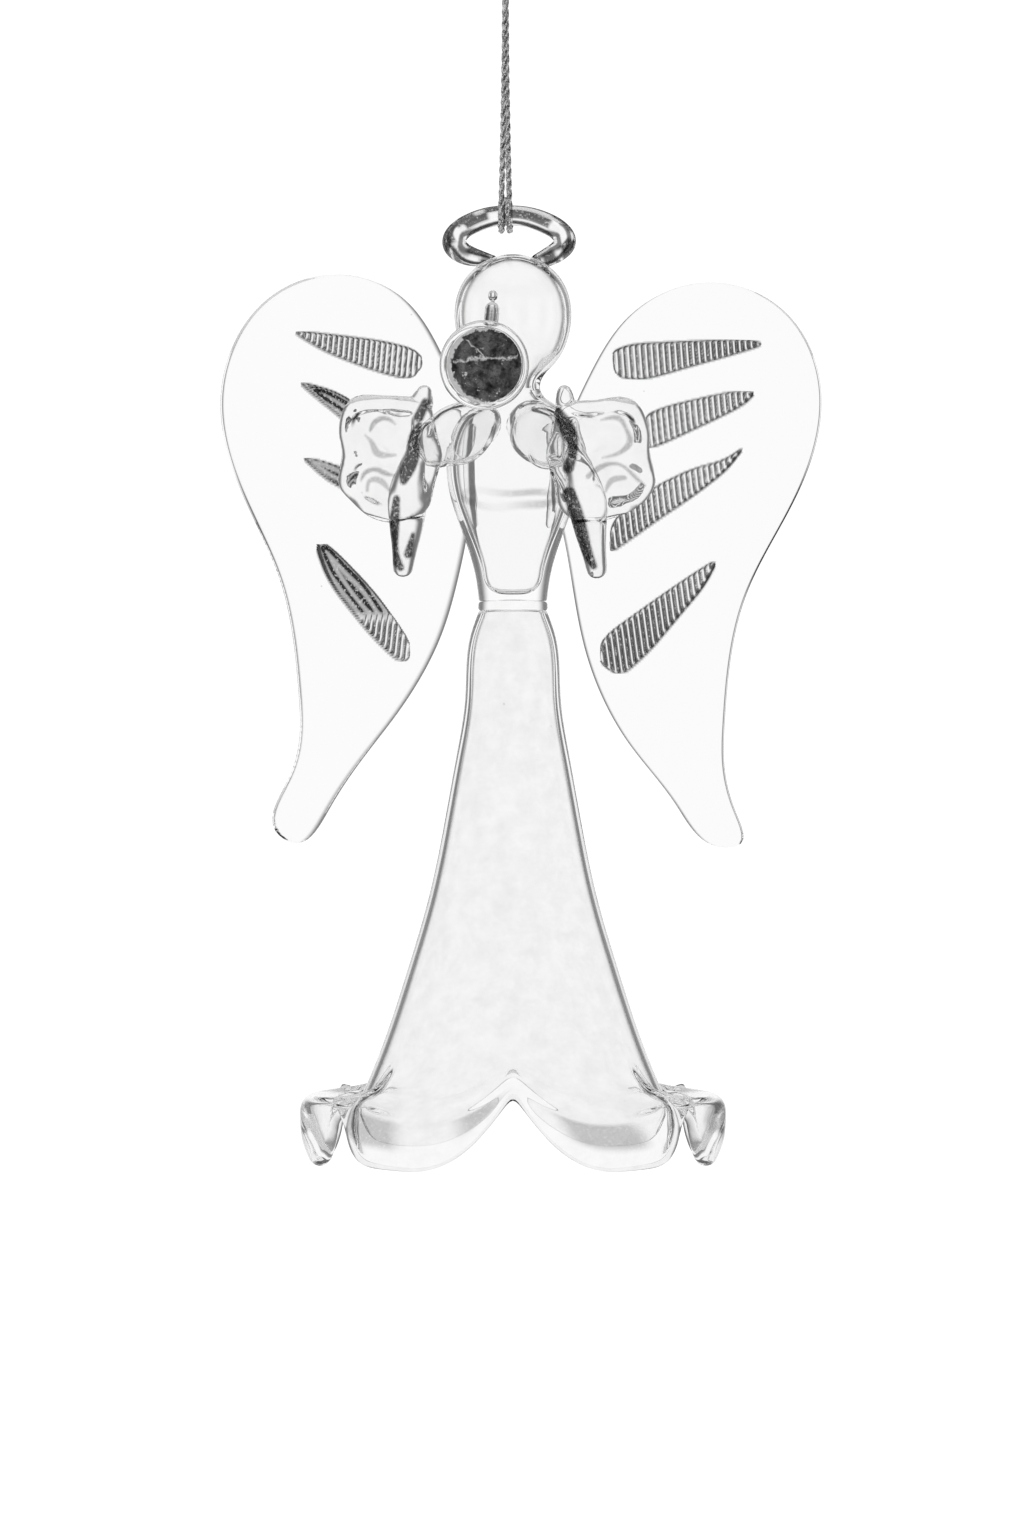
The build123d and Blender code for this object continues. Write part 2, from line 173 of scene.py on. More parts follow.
def cord_material():
    """Silver foil thread: bright flat strips at all angles, darker in the twist's hollows."""
    material, tree, where = new_material("silver_thread")
    strip = tree.add("ShaderNodeTexVoronoi", {"Vector": where, "Scale": FOIL_SCALE, "Randomness": 1.0})
    parts = tree.add("ShaderNodeSeparateColor", {0: strip.outputs["Color"]})
    tone = tree.ramp(parts.outputs[0], 0.0, 1.0, 0.28, 0.95)
    bump = tree.add("ShaderNodeBump", {
        "Strength": 1.0, "Distance": 0.00012, "Height": parts.outputs[1]})
    shader = tree.add("ShaderNodeBsdfPrincipled", {
        "Base Color": tree.grey(tone), "Metallic": 1.0, "Normal": bump.outputs[0],
        "Roughness": tree.ramp(parts.outputs[2], 0.0, 1.0, 0.12, 0.4)})
    surface(tree, shader)
    return material


# Slope, height, width, and start and end across, in millimetres from the bell's middle.
CRACKS = ((0.05, 0.8, 0.26, -3.9, 4.2), (-0.95, 0.9, 0.22, -2.3, 0.3))
CRACK_JITTER = 2.6
FLAKED_FROM, FLAKED_TO = 5.4, 5.6  # the silvering's ragged edge
DARKEST, DULL = 0.012, 0.13  # tones of the silvering


def mirror_material():
    """The silvering in the horn's bell: dark, crazed and flaking, with two long cracks."""
    material, tree, where = new_material("flaked_mirror")
    place = tree.add("ShaderNodeSeparateXYZ", {0: where})
    x, z = (tree.math("DIVIDE", tree.minus(place.outputs[i], HORN_BELL[i] * MM), MM) for i in (0, 2))
    jitter = tree.times(tree.minus(tree.noise(where, 520.0, 6.0, 0.72), 0.5), CRACK_JITTER)

    def crack(slope, height, width, start, end):
        line = tree.math("ADD", tree.times(x, slope), height)
        away = tree.math("ABSOLUTE", tree.math("ADD", tree.minus(z, line), jitter))
        along = tree.times(tree.math("GREATER_THAN", x, start), tree.math("LESS_THAN", x, end))
        beads = tree.ramp(tree.noise(where, 1900.0, 3.0, 0.7), 0.36, 0.55, 0.35, 1.0)
        return tree.times(tree.times(tree.ramp(away, 0.0, width, 1.0, 0.0), along), beads)

    light = tree.math("MAXIMUM", *(crack(*line) for line in CRACKS))
    flake = tree.ramp(tree.noise(where, 1500.0, 6.0, 0.75), 0.595, 0.635)
    patch = tree.ramp(tree.noise(where, 330.0, 2.0), 0.44, 0.54)
    light = tree.math("MAXIMUM", light, tree.times(flake, patch))
    far = tree.math("SQRT", tree.math("ADD", tree.times(x, x), tree.times(z, z)))
    ragged = tree.math("ADD", far, tree.times(tree.noise(where, 850.0, 5.0, 0.75), 2.2))
    ragged = tree.minus(ragged, tree.times(x, 0.09))
    light = tree.math("MAXIMUM", light, tree.ramp(ragged, FLAKED_FROM, FLAKED_TO))
    blotch = tree.ramp(tree.noise(where, 620.0, 6.0, 0.72), 0.32, 0.7, DARKEST, 0.19)
    colour = tree.mix(light, tree.grey(blotch), (0.83, 0.83, 0.83, 1))
    bump = tree.add("ShaderNodeBump", {"Strength": 0.7, "Distance": 0.0002,
                                       "Height": tree.noise(where, 700.0, 6.0, 0.7)})
    shader = tree.add("ShaderNodeBsdfPrincipled", {
        "Base Color": colour, "Metallic": tree.minus(1.0, light), "Normal": bump.outputs[0],
        "Roughness": tree.ramp(blotch, DARKEST, DULL, 0.5, 0.25)})
    surface(tree, shader)
    return material


# Glass bends light at about 1.5. Blown and pressed parts have less here, to be as pale as in the photograph.
bell_glass = glass_material("clear_glass", clear=0.985, ior=1.28)
wing_glass = glass_material("wing_glass", ior=1.11, wave=0.012, wave_scale=90.0)
# The grooves, skirt, rods, torso and sleeves carry painted shade, as dark as the strength given last.
groove_glass = glass_material("groove_glass", clear=0.96, ior=1.45, wave=0.04, wave_scale=500.0, painted_shade=0.985)
skirt_glass = glass_material("skirt_glass", ior=1.095, mottle=0.06, mottle_scale=420.0, wave=0.006,
                             wave_scale=110.0, painted_shade=0.62)
rod_glass = glass_material("rod_glass", wave=0.05, wave_scale=260.0, painted_shade=0.985)
arm_glass = glass_material("arm_glass", ior=1.2, mottle=0.04, wave=0.02)
head_glass = glass_material("head_glass", ior=1.26)
torso_glass = glass_material("torso_glass", ior=1.1, painted_shade=0.6)
sleeve_glass = glass_material("sleeve_glass", clear=0.955, ior=1.18, mottle=0.06, wave=0.05, wave_scale=260.0,
                              painted_shade=0.99)
thread = cord_material()
mirror = mirror_material()


# ---- shapes
SPLINE_STEPS = 40  # fine points for each one given
TURNED_SIDES = 160


def fade(x):
    """0 to 1, level at both ends."""
    x = np.clip(x, 0, 1)
    return x * x * (3 - 2 * x)


def circle(count):
    """Evenly spaced angles."""
    return np.linspace(0, 2 * math.pi, count, endpoint=False)


def lengths(line):
    """How far along the line each of its points is."""
    return np.concatenate([[0], np.cumsum(np.linalg.norm(np.diff(line, axis=0), axis=1))])


def smooth_line(points, count, closed=False):
    """Evenly spaced points along the cubic spline through the given ones."""
    p = np.array(points, float)
    if closed:
        p = np.vstack([p, p[:1]])
    t = lengths(p)
    h, n = np.diff(t), len(p)
    left, right = np.zeros((n, n)), np.zeros(p.shape)
    for i in range(1, n - 1):
        left[i, i - 1], left[i, i], left[i, i + 1] = h[i - 1], 2 * (h[i - 1] + h[i]), h[i]
        right[i] = 6 * ((p[i + 1] - p[i]) / h[i] - (p[i] - p[i - 1]) / h[i - 1])
    left[0, 0] = left[-1, -1] = 1
    if closed:
        left[0, -1] = -1
        left[-1, 0], left[-1, 1], left[-1, -2], left[-1, -1] = 2 * h[0], h[0], h[-1], 2 * h[-1]
        right[-1] = 6 * ((p[1] - p[0]) / h[0] - (p[-1] - p[-2]) / h[-1])
    m = np.linalg.solve(left, right)
    u = np.linspace(0, t[-1], SPLINE_STEPS * n)
    i = np.clip(np.searchsorted(t, u, side="right") - 1, 0, n - 2)
    a, b = ((t[i + 1] - u) / h[i])[:, None], ((u - t[i]) / h[i])[:, None]
    line = a * p[i] + b * p[i + 1] + ((a**3 - a) * m[i] + (b**3 - b) * m[i + 1]) * h[i][:, None] ** 2 / 6
    return evenly(line, count, closed)


def evenly(line, count, closed=False):
    """The same line with its points evenly spaced."""
    line = np.asarray(line, float)
    along = lengths(line)
    at = np.linspace(0, along[-1], count + 1 if closed else count)
    if closed:
        at = at[:-1]
    return np.stack([np.interp(at, along, line[:, k]) for k in range(line.shape[1])], 1)


def quads(rows, columns, wrap_rows=False, wrap_columns=False):
    """The faces of a grid of points."""
    i = np.arange(rows if wrap_rows else rows - 1)
    j = np.arange(columns if wrap_columns else columns - 1)
    i, j = [a.ravel() for a in np.meshgrid(i, j, indexing="ij")]
    k, l = (i + 1) % rows, (j + 1) % columns
    return np.stack([i * columns + j, i * columns + l, k * columns + l, k * columns + j], 1)


def volume(points, faces):
    """The volume inside four-cornered faces, below zero where they face inward."""
    p = points[faces]
    total = np.einsum("ij,ij->i", p[:, 0], np.cross(p[:, 1], p[:, 2])).sum()
    return (total + np.einsum("ij,ij->i", p[:, 0], np.cross(p[:, 2], p[:, 3])).sum()) / 6


def facing(points, faces, outward=True):
    """The faces, turned so that the form they close is solid, or is a hollow."""
    return faces if (volume(points, faces) > 0) == outward else faces[:, ::-1]


def joined(*forms):
    """Several (points, faces) as one."""
    points, faces, start = [], [], 0
    for p, f in forms:
        points.append(p)
        faces.append(f + start)
        start += len(p)
    return np.vstack(points), np.vstack(faces)


def ringed(centres, radii, angle, across, over):
    """Rings of points: a centre, radii, and two directions across for each."""
    return (centres[:, None] + (radii * np.cos(angle))[:, :, None] * across[:, None]
            + (radii * np.sin(angle))[:, :, None] * over[:, None]).reshape(-1, 3)


def turned(profile, outward=True):
    """A profile of (radius, height) turned about the figure's axis."""
    profile = np.asarray(profile, float)
    x, y, z = np.eye(3)[:, None]
    points = ringed(AXIS + profile[:, 1:] * z, profile[:, :1], circle(TURNED_SIDES), x, y)
    faces = quads(len(profile), TURNED_SIDES, wrap_columns=True)
    return points, facing(points - AXIS, faces, outward)


def new_object(name, points, faces):
    """A mesh object from points in millimetres."""
    mesh = bpy.data.meshes.new(name)
    mesh.from_pydata((np.asarray(points) * MM).tolist(), [], np.asarray(faces).tolist())
    thing = bpy.data.objects.new(name, mesh)
    link(thing)
    return thing


# Stores where painted shade darkens the glass, as the mesh's shade attribute.
def set_painted_shade(mesh, shade):
    mesh.attributes.new("shade", "FLOAT", "POINT").data.foreach_set("value", shade)


def vectors(parts, name):
    """A vector for each of a mesh's vertices or faces."""
    values = np.empty(len(parts) * 3)
    parts.foreach_get(name, values)
    return values.reshape(-1, 3)


def make_piece(name, form, material, body, nodes):
    """A piece of the object from (points, faces), or (points, faces, painted shade), in millimetres."""
    thing = new_object(name, *form[:2])
    mesh = thing.data
    if len(form) > 2:
        set_painted_shade(mesh, form[2])
    bm = bmesh.new()
    bm.from_mesh(mesh)
    bmesh.ops.remove_doubles(bm, verts=bm.verts, dist=1e-7)
    bmesh.ops.dissolve_degenerate(bm, edges=bm.edges, dist=1e-8)
    bm.to_mesh(mesh)
    bm.free()
    return dress(thing, material, body, nodes)


def dress(thing, material, body, nodes):
    """An object given its material, body, and the nodes that it replaces."""
    thing.data.materials.clear()
    thing.data.materials.append(material)
    thing.data.polygons.foreach_set("use_smooth", [True] * len(thing.data.polygons))
    if body:
        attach(thing, body)
    if nodes:
        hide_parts(*nodes)
    return thing


def glass(name, form, nodes, material):
    return make_piece(name, form, material, "angel", nodes)


def add_material(thing, material, chosen):
    """A second material for the faces whose centre, in millimetres, is chosen."""
    thing.data.materials.append(material)
    picked = chosen(vectors(thing.data.polygons, "center") / MM)
    thing.data.polygons.foreach_set("material_index", picked.astype(np.int32))


# ---- cord
HALO_Z = -46.0
REACH = 1.98  # from the halo rod's centre out to the cord's
LOW, HIGH = HALO_Z - REACH, HALO_Z + REACH
CORD_ROUTE = [(0, -0.8, -0.5), (0, -1.25, -21.0), (-0.42, -1.76, -42.0),
              (-0.68, -REACH, LOW), (-0.42, REACH, LOW), (-0.12, REACH, HIGH), (0.15, -REACH, HIGH),
              (0.42, -REACH, LOW), (0.68, REACH, LOW),
              (0.42, 1.76, -42.0), (0, 1.25, -21.0), (0, 0.8, -0.5)]
CURVE_STEPS = 48


def route_points(route, closed=False):
    """Points along the NURBS spline whose control points are the route, in millimetres."""
    curve = bpy.data.curves.new("route", "CURVE")
    curve.dimensions = "3D"
    curve.resolution_u = CURVE_STEPS
    spline = curve.splines.new("NURBS")
    spline.points.add(len(route) - 1)
    for point, co in zip(spline.points, route):
        point.co = (*[c * MM for c in co], 1)
    spline.order_u = 3
    spline.use_endpoint_u = not closed
    spline.use_cyclic_u = closed
    line = bpy.data.objects.new("route", curve)
    link(line)
    bpy.context.view_layer.update()
    mesh = bpy.data.meshes.new_from_object(line)
    points = np.array([v.co for v in mesh.vertices]) / MM
    bpy.data.objects.remove(line)
    bpy.data.curves.remove(curve)
    bpy.data.meshes.remove(mesh)
    return points


def frames_along(points):
    """Two directions across a line at each of its points, carried along it without twist."""
    tangent = np.gradient(points, axis=0)
    tangent /= np.linalg.norm(tangent, axis=1)[:, None]
    side = np.cross(tangent[0], (0.3, 1.0, 0.2))
    sides = []
    for t in tangent:
        side = side - t * side.dot(t)
        side = side / np.linalg.norm(side)
        sides.append(side)
    sides = np.array(sides)
    return sides, np.cross(tangent, sides)


PLIES, LAY = 3, 4.4  # and the length in which a ply goes once round
PLY_OFFSET, PLY_RADIUS = 0.205, 0.195
PLY_STEP, PLY_SIDES = 0.14, 15
THREADS = 5  # foil threads that show round one ply
THREAD_PITCH, THREAD_DEPTH = 0.9, 0.1
SPLAY_LENGTH, TAPER_LENGTH = 1.6, 0.12


def twisted(line, splay=0.0):
    """The plies of a twisted cord along a line. Splay opens its far end."""
    length = np.linalg.norm(np.diff(line, axis=0), axis=1).sum()
    line = evenly(line, max(int(length / PLY_STEP), 12))
    across, over = frames_along(line)
    along = np.linspace(0, length, len(line))
    open_end = 1 + splay * np.clip((along - length + SPLAY_LENGTH) / SPLAY_LENGTH, 0, 1) ** 2
    around = circle(PLY_SIDES)
    forms = []
    for ply in range(PLIES):
        turn = 2 * math.pi * (along / LAY + ply / PLIES)
        out = across * np.cos(turn)[:, None] + over * np.sin(turn)[:, None]
        centre = line + out * (PLY_OFFSET * open_end)[:, None]
        twist = THREADS * around[None, :] - 2 * math.pi * along[:, None] / THREAD_PITCH
        flute = 1 + THREAD_DEPTH * np.cos(twist)
        taper = np.sqrt(np.clip(np.minimum(along, length - along) / TAPER_LENGTH, 0.02, 1))
        r = PLY_RADIUS * flute * taper[:, None]
        points = ringed(centre, r, around, across, over)
        faces = quads(len(line), PLY_SIDES, wrap_columns=True)
        forms.append((points, facing(points - centre[0], faces)))
    return joined(*forms)


cord_line = route_points(CORD_ROUTE)
INTO_KNOT = [(0, -0.15, 1.1), (0, -0.4, 0.5)]  # the front leg's end, hidden in the knot
drawn = INTO_KNOT + cord_line.tolist() + [(x, -y, z) for x, y, z in INTO_KNOT[::-1]]
cord = make_piece("cord", twisted(np.array(drawn)), thread, None,
                  ["cord_front_leg", "cord_rear_leg", "cord_hitch"])
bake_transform(cord)

KNOT_CENTRE = np.array([0, 0, 1.45])
KNOT_RADIUS, KNOT_SWING, KNOT_RISE = 0.62, 0.36, 0.42


def knot_route():
    """A small overhand knot, pulled tight."""
    turn = circle(24)
    ring = KNOT_RADIUS + KNOT_SWING * np.cos(3 * turn)
    return KNOT_CENTRE + np.stack([ring * np.cos(2 * turn), KNOT_RISE * np.sin(3 * turn),
                                   ring * np.sin(2 * turn)], 1)


knot_line = route_points(knot_route().tolist(), closed=True)
knot = make_piece("knot", twisted(np.vstack([knot_line, knot_line[:2]])), thread, "knot", ["cord_knot"])
TAILS = [[(-0.35, 0.1, 2.1), (-0.55, 0.05, 3.1), (-1.1, 0.3, 5.4), (-1.65, 0.4, 7.7)],
         [(0.35, -0.1, 2.1), (0.6, -0.05, 3.2), (1.0, -0.4, 5.2), (1.65, -0.4, 7.7)]]
tails = make_piece("cord_ends", joined(*[twisted(route_points(t), splay=0.9) for t in TAILS]), thread,
                   "knot", ["cord_tails"])


# ---- head, neck, torso, waist
HEAD = [(0, -51.5), (3.6, -52.4), (6.3, -54.8), (7.55, -59.0), (7.2, -62.0), (5.4, -65.6), (3.7, -67.9)]
TORSO = [(3.7, -69.1), (5.6, -71.0), (7.9, -74.4), (8.6, -78.8), (7.6, -84.5), (6.1, -88.6), (4.9, -92.8),
         (4.4, -96.3)]
NECK = [(3.9, -67.3), (3.5, -68.5), (3.9, -69.7)]
NECK_Z, TORSO_FOOT = -68.5, TORSO[-1][1]
HEAD_WALL, TORSO_WALL = 0.8, 1.3
WALL_CHANGE, WALL_RUN = -64.0, 4  # where the wall grows from the head's to the torso's
CAVITY_FOOT = [(2.6, -94.9), (1.8, -95.25), (0.9, -95.4), (0, -95.45)]


def inward(profile, wall):
    """A profile moved inward by the wall."""
    step = np.gradient(profile, axis=0)
    step /= np.linalg.norm(step, axis=1)[:, None]
    return profile + np.stack([step[:, 1], -step[:, 0]], 1) * wall


def from_axis(points, count):
    """The smooth line through points that start on the axis and leave it level."""
    mirrored = [(-r, z) for r, z in points[2:0:-1]]
    line = smooth_line(mirrored + list(points), 3 * count)
    line = line[line[:, 0] >= 0]
    line[0, 0] = 0
    return evenly(line, count)


head_side = from_axis(HEAD, 70)
torso_side = smooth_line(TORSO, 90)
# The head, neck and torso are one surface outside and one inside, as if blown from one tube.
whole = smooth_line([(-HEAD[1][0], HEAD[1][1])] + HEAD[:-1] + NECK + TORSO[1:], 700)
whole = whole[whole[:, 0] >= 0]
whole[0, 0] = 0
whole = evenly(whole, 260)
figure_out = np.vstack([whole[:-1], [(4.36, -96.2), (4.2, TORSO_FOOT + GAP), (0, TORSO_FOOT + GAP)]])
wall = HEAD_WALL + (TORSO_WALL - HEAD_WALL) * fade((WALL_CHANGE - whole[:, 1]) / WALL_RUN)
hollow = inward(whole, wall[:, None])
hollow = hollow[(hollow[:, 0] > 0.15) & (hollow[:, 1] > -94.6)]
hollow = np.vstack([[(0, hollow[0, 1])], hollow, CAVITY_FOOT])
cavity, cavity_faces = turned(evenly(smooth_line(hollow[::6].tolist() + CAVITY_FOOT[-1:], 500), 240), False)
# The seam inside the torso is lower at the front, and a grey line of painted shade runs along it.
CREASE_Z, CREASE_DROP, CREASE_DEPTH, CREASE_HALF = -82.9, 1.2, 0.22, 0.8
angle = np.arctan2(cavity[:, 1] - BODY_Y, cavity[:, 0] - BODY_X)
crease = CREASE_Z + CREASE_DROP * np.sin(angle) + 0.3 * np.cos(2 * angle + 0.5) + 0.16 * np.cos(5 * angle + 1)
ridge = CREASE_DEPTH * np.sin(angle) ** 2 * np.exp(-((cavity[:, 2] - crease) / CREASE_HALF) ** 2)
pull = np.hypot(cavity[:, 0] - BODY_X, cavity[:, 1] - BODY_Y)
squeeze = 1 - ridge / np.maximum(pull, 2.0)
cavity[:, :2] = AXIS[:2] + (cavity[:, :2] - AXIS[:2]) * squeeze[:, None]
# Painted shade: a grey line along the crease, varying round the torso.
crease_painted_shade = fade(1.4 - np.abs(cavity[:, 2] - crease) / 0.55) * (0.6 - 0.4 * np.sin(3 * angle + 1))
outside, outside_faces = turned(figure_out)
figure = glass("head_and_torso", (*joined((outside, outside_faces), (cavity, cavity_faces)),
                                  np.concatenate([np.zeros(len(outside)), crease_painted_shade])),
               ["head", "neck", "torso"], head_glass)
add_material(figure, torso_glass, lambda centres: centres[:, 2] < TORSO[0][1])

WAIST = [(0, -96.32), (4.0, -96.32), (4.35, -96.42), (4.5, -96.7), (4.5, -97.2), (4.35, -97.48),
         (4.0, -97.58), (0, -97.58)]
glass("waist_joint", turned(evenly(WAIST, 60)), ["waist_joint"], skirt_glass)


def torso_radius(z):
    """The figure's outside radius at a height, from the head down to the waist."""
    side = np.vstack([head_side, [(HEAD[-1][0], NECK_Z)], torso_side, [(4.5, -97.0)]])
    order = np.argsort(side[:, 1])
    return np.interp(z, side[order, 1], side[order, 0])


def pressed_out(points, margin=GAP):
    """The points moved out of the head, neck and torso."""
    points = points.copy()
    rel = points[:, :2] - AXIS[:2]
    far = np.maximum(np.hypot(rel[:, 0], rel[:, 1]), 1e-6)
    least = torso_radius(points[:, 2]) + margin
    inside = far < least
    points[inside, :2] = AXIS[:2] + rel[inside] * (least[inside] / far[inside])[:, None]
    return points


# ---- skirt
BELL = [(4.4, -97.6), (5.6, -101.2), (6.2, -109.0), (7.3, -116.3), (8.9, -125.2), (10.9, -134.7),
        (13.3, -142.9), (17.3, -154.8)]
# The hem's profile as (radius, height): through the middle of a front or side lobe, and where lobes meet.
HEMS = {
    "front": [(19.8, -158.8), (22.6, -161.3), (25.3, -162.7), (27.1, -164.3), (27.5, -166.2), (26.8, -168.0)],
    "side": [(18.6, -158.0), (20.1, -160.3), (22.0, -160.7), (24.1, -160.3), (25.9, -159.9), (27.1, -160.7),
             (27.5, -163.2), (27.2, -166.0), (26.3, -168.3)],
    "front pinch": [(18.6, -156.4), (19.7, -157.4), (20.6, -157.9), (21.3, -158.15), (21.8, -158.3),
                    (22.2, -158.4)],
    "side pinch": [(19.5, -158.0), (21.6, -159.3), (23.4, -159.8), (24.6, -159.8), (25.4, -159.6),
                   (25.9, -159.5)],
}
FOLD_AT, FOLD_HALF = 0.72, 0.15  # the share of the hem down to the fold's bands of painted grey shade
PAINTED_FOLD_SHADE = ((-45, 15), (-10, 9), (26, 15), (90, 20), (135, 12), (-135, 16))  # degrees: centre, half
FOLD_SLANT, FOLD_SOFT = 14, 7
HALF_LOBE = 30  # degrees
PINCH_SOFT = 0.09
PINCH_POWER, SIDE_POWER = 2.4, 5.0
SKIRT_WALL = 0.8
RIM_EXTRA, SIDE_EXTRA = 0.35, 1.0  # how much thicker the hem's edge is, and the side lobes'
SKIRT_SIDES, BELL_ROWS, HEM_ROWS, RIM_ROWS = 360, 80, 52, 6


def make_skirt():
    """The bell and its flange, whose edge folds down in six lobes; those at the sides fold more sharply. Grey
    bands of painted shade lie across the fold.
    """
    lines = {name: smooth_line(BELL + hem, 600) for name, hem in HEMS.items()}
    lines = {name: line[np.argmax(line[:, 0] > BELL[-1][0] + 0.02):] for name, line in lines.items()}
    bell = smooth_line(BELL + HEMS["side"], 900)
    bell = evenly(bell[bell[:, 0] < BELL[-1][0] + 0.01], BELL_ROWS)
    hems = {name: evenly(np.vstack([bell[-1:], line]), HEM_ROWS + 1)[1:] for name, line in lines.items()}
    angle = circle(SKIRT_SIDES)
    sideways = fade((np.abs(np.cos(angle)) - 0.5) / 0.45)
    t = np.abs((np.degrees(angle) + HALF_LOBE) % (2 * HALF_LOBE) / HALF_LOBE - 1)   # 1 in a pinch
    t = (np.hypot(1, PINCH_SOFT) - np.hypot(1 - t, PINCH_SOFT)) / (np.hypot(1, PINCH_SOFT) - PINCH_SOFT)
    f = 1 - t ** (PINCH_POWER + SIDE_POWER * sideways)
    lobe, pinch = (hems[front][:, :, None] * (1 - sideways) + hems[side][:, :, None] * sideways
                   for front, side in (("front", "side"), ("front pinch", "side pinch")))
    hem = pinch + (lobe - pinch) * f
    r = np.vstack([np.repeat(bell[:, :1], SKIRT_SIDES, 1), hem[:, 0]])
    z = np.vstack([np.repeat(bell[:, 1:], SKIRT_SIDES, 1), hem[:, 1]])
    dr, dz = np.gradient(r, axis=0), np.gradient(z, axis=0)
    step = np.hypot(dr, dz)
    share = np.linspace(0, 1, len(r))[:, None]
    thick = SKIRT_WALL * (1 + (RIM_EXTRA + SIDE_EXTRA * sideways * f) * fade((share - 0.84) / 0.14))
    r_in, z_in = r + dz / step * thick, z - dr / step * thick

    def placed(radius, level):
        return np.stack([radius * np.cos(angle) + BODY_X, radius * np.sin(angle) + BODY_Y, level], -1)

    outer, inner = placed(r, z), placed(r_in, z_in)
    middle, half = (outer[-1] + inner[-1]) / 2, (outer[-1] - inner[-1]) / 2
    past = placed(dr[-1] / step[-1], dz[-1] / step[-1]) - AXIS
    past = past * thick[-1][:, None] / 2
    rim = [middle + half * math.cos(a) + past * math.sin(a)
           for a in np.linspace(0, math.pi, RIM_ROWS + 2)[1:-1]]
    loop = np.concatenate([outer, np.array(rim), inner[::-1]])
    points = loop.reshape(-1, 3)
    points[:, 2] = np.minimum(points[:, 2], BELL[0][1] - GAP)
    faces = quads(len(loop), SKIRT_SIDES, wrap_rows=True, wrap_columns=True)
    # Painted shade: grey bands across the hem's fold, fading out toward the back.
    down = np.clip((np.arange(len(r)) - BELL_ROWS) / HEM_ROWS, 0, 1)[:, None]
    across = (np.degrees(angle) + 270) % 360 - 180   # degrees right of the front
    band = sum(fade((wide - np.abs(across - centre - FOLD_SLANT * (down - FOLD_AT))) / FOLD_SOFT)
               for centre, wide in PAINTED_FOLD_SHADE)
    shade = np.zeros(loop.shape[:2])
    shade[:len(r)] = (band * fade((FOLD_HALF - np.abs(down - FOLD_AT)) / 0.07)
                      * fade((0.6 - np.sin(angle)) / 0.6))
    return points, facing(points - AXIS, faces), shade.ravel()


glass("skirt", make_skirt(), ["skirt"], skirt_glass)


# ---- wings
LEFT_WING = [(2.6, -64.1), (8.1, -56.4), (18.6, -52.6), (29.8, -56.7), (35.3, -67.6), (33.0, -79.4),
             (26.3, -93.2), (23.6, -107.6), (24.9, -118.8), (27.2, -126.0), (24.6, -127.8),
             (19.4, -123.1), (9.1, -110.3), (3.1, -100.8), (0.4, -92.7), (-1.6, -80.0), (0.0, -70.0)]
RIGHT_WING = [(4.1, -66.3), (8.8, -59.2), (20.4, -53.9), (31.3, -58.1), (35.6, -66.8), (32.1, -82.4),
              (25.2, -95.5), (22.4, -112.0), (23.8, -123.3), (24.7, -127.8), (22.0, -128.3),
              (15.8, -122.6), (9.4, -114.6), (3.5, -102.5), (0.7, -88.3), (-0.6, -80.0), (1.4, -72.0)]
# Each groove runs from its outer tip along its upper edge and back along its lower edge.
LEFT_GROOVES = [
    [(24.6, -59.9), (20.6, -60.3), (10.9, -61.7), (6.3, -62.9), (4.5, -64.6), (6.6, -67.1), (12.2, -65.6),
     (19.4, -62.9)],
    [(23.6, -66.6), (20.6, -67.3), (18.0, -68.1), (15.1, -69.6), (15.2, -73.2), (17.2, -71.5), (19.8, -69.6)],
    [(23.0, -76.6), (20.4, -77.1), (18.0, -77.8), (15.1, -78.8), (14.9, -82.0), (16.8, -81.0), (19.4, -79.6)],
    [(21.0, -88.0), (18.8, -88.3), (12.2, -94.4), (6.9, -101.0), (6.6, -103.4), (8.3, -104.1), (12.6, -100.4),
     (18.8, -93.4)]]
RIGHT_GROOVES = [
    [(27.7, -62.1), (25.9, -61.3), (15.4, -61.9), (9.4, -62.3), (6.6, -63.4), (7.4, -66.8), (11.4, -67.0),
     (18.0, -65.0), (23.3, -63.5)],
    [(26.7, -68.2), (23.3, -68.2), (14.4, -70.3), (11.1, -71.7), (11.2, -76.2), (13.6, -75.4), (19.3, -72.8),
     (24.7, -70.2)],
    [(25.2, -75.3), (22.2, -77.3), (17.5, -78.6), (12.5, -81.0), (6.8, -85.3), (6.3, -89.9), (8.8, -88.3),
     (12.8, -85.5), (18.0, -82.1), (22.4, -78.8)],
    [(21.5, -90.1), (17.1, -92.8), (12.5, -95.9), (5.4, -100.8), (5.0, -104.1), (8.0, -106.0), (12.0, -102.5),
     (15.8, -98.1), (19.4, -94.0)]]
WING_RIM = 0.42  # the width over which the edge rounds off
WING_BACK = BODY_Y + 7.0
WING_ROWS, FRONT_COLUMNS, BACK_COLUMNS, EDGE_COLUMNS = 330, 240, 46, 9
GROOVE_DEPTH, GROOVE_EDGE = 0.8, 0.3
GROOVE_REACH = 0.25  # how far past its outline a groove's own glass goes
LIP_HEIGHT, LIP_WIDTH = 0.1, 0.28
RIB_PITCH, RIB_HEIGHT = 0.81, 0.42


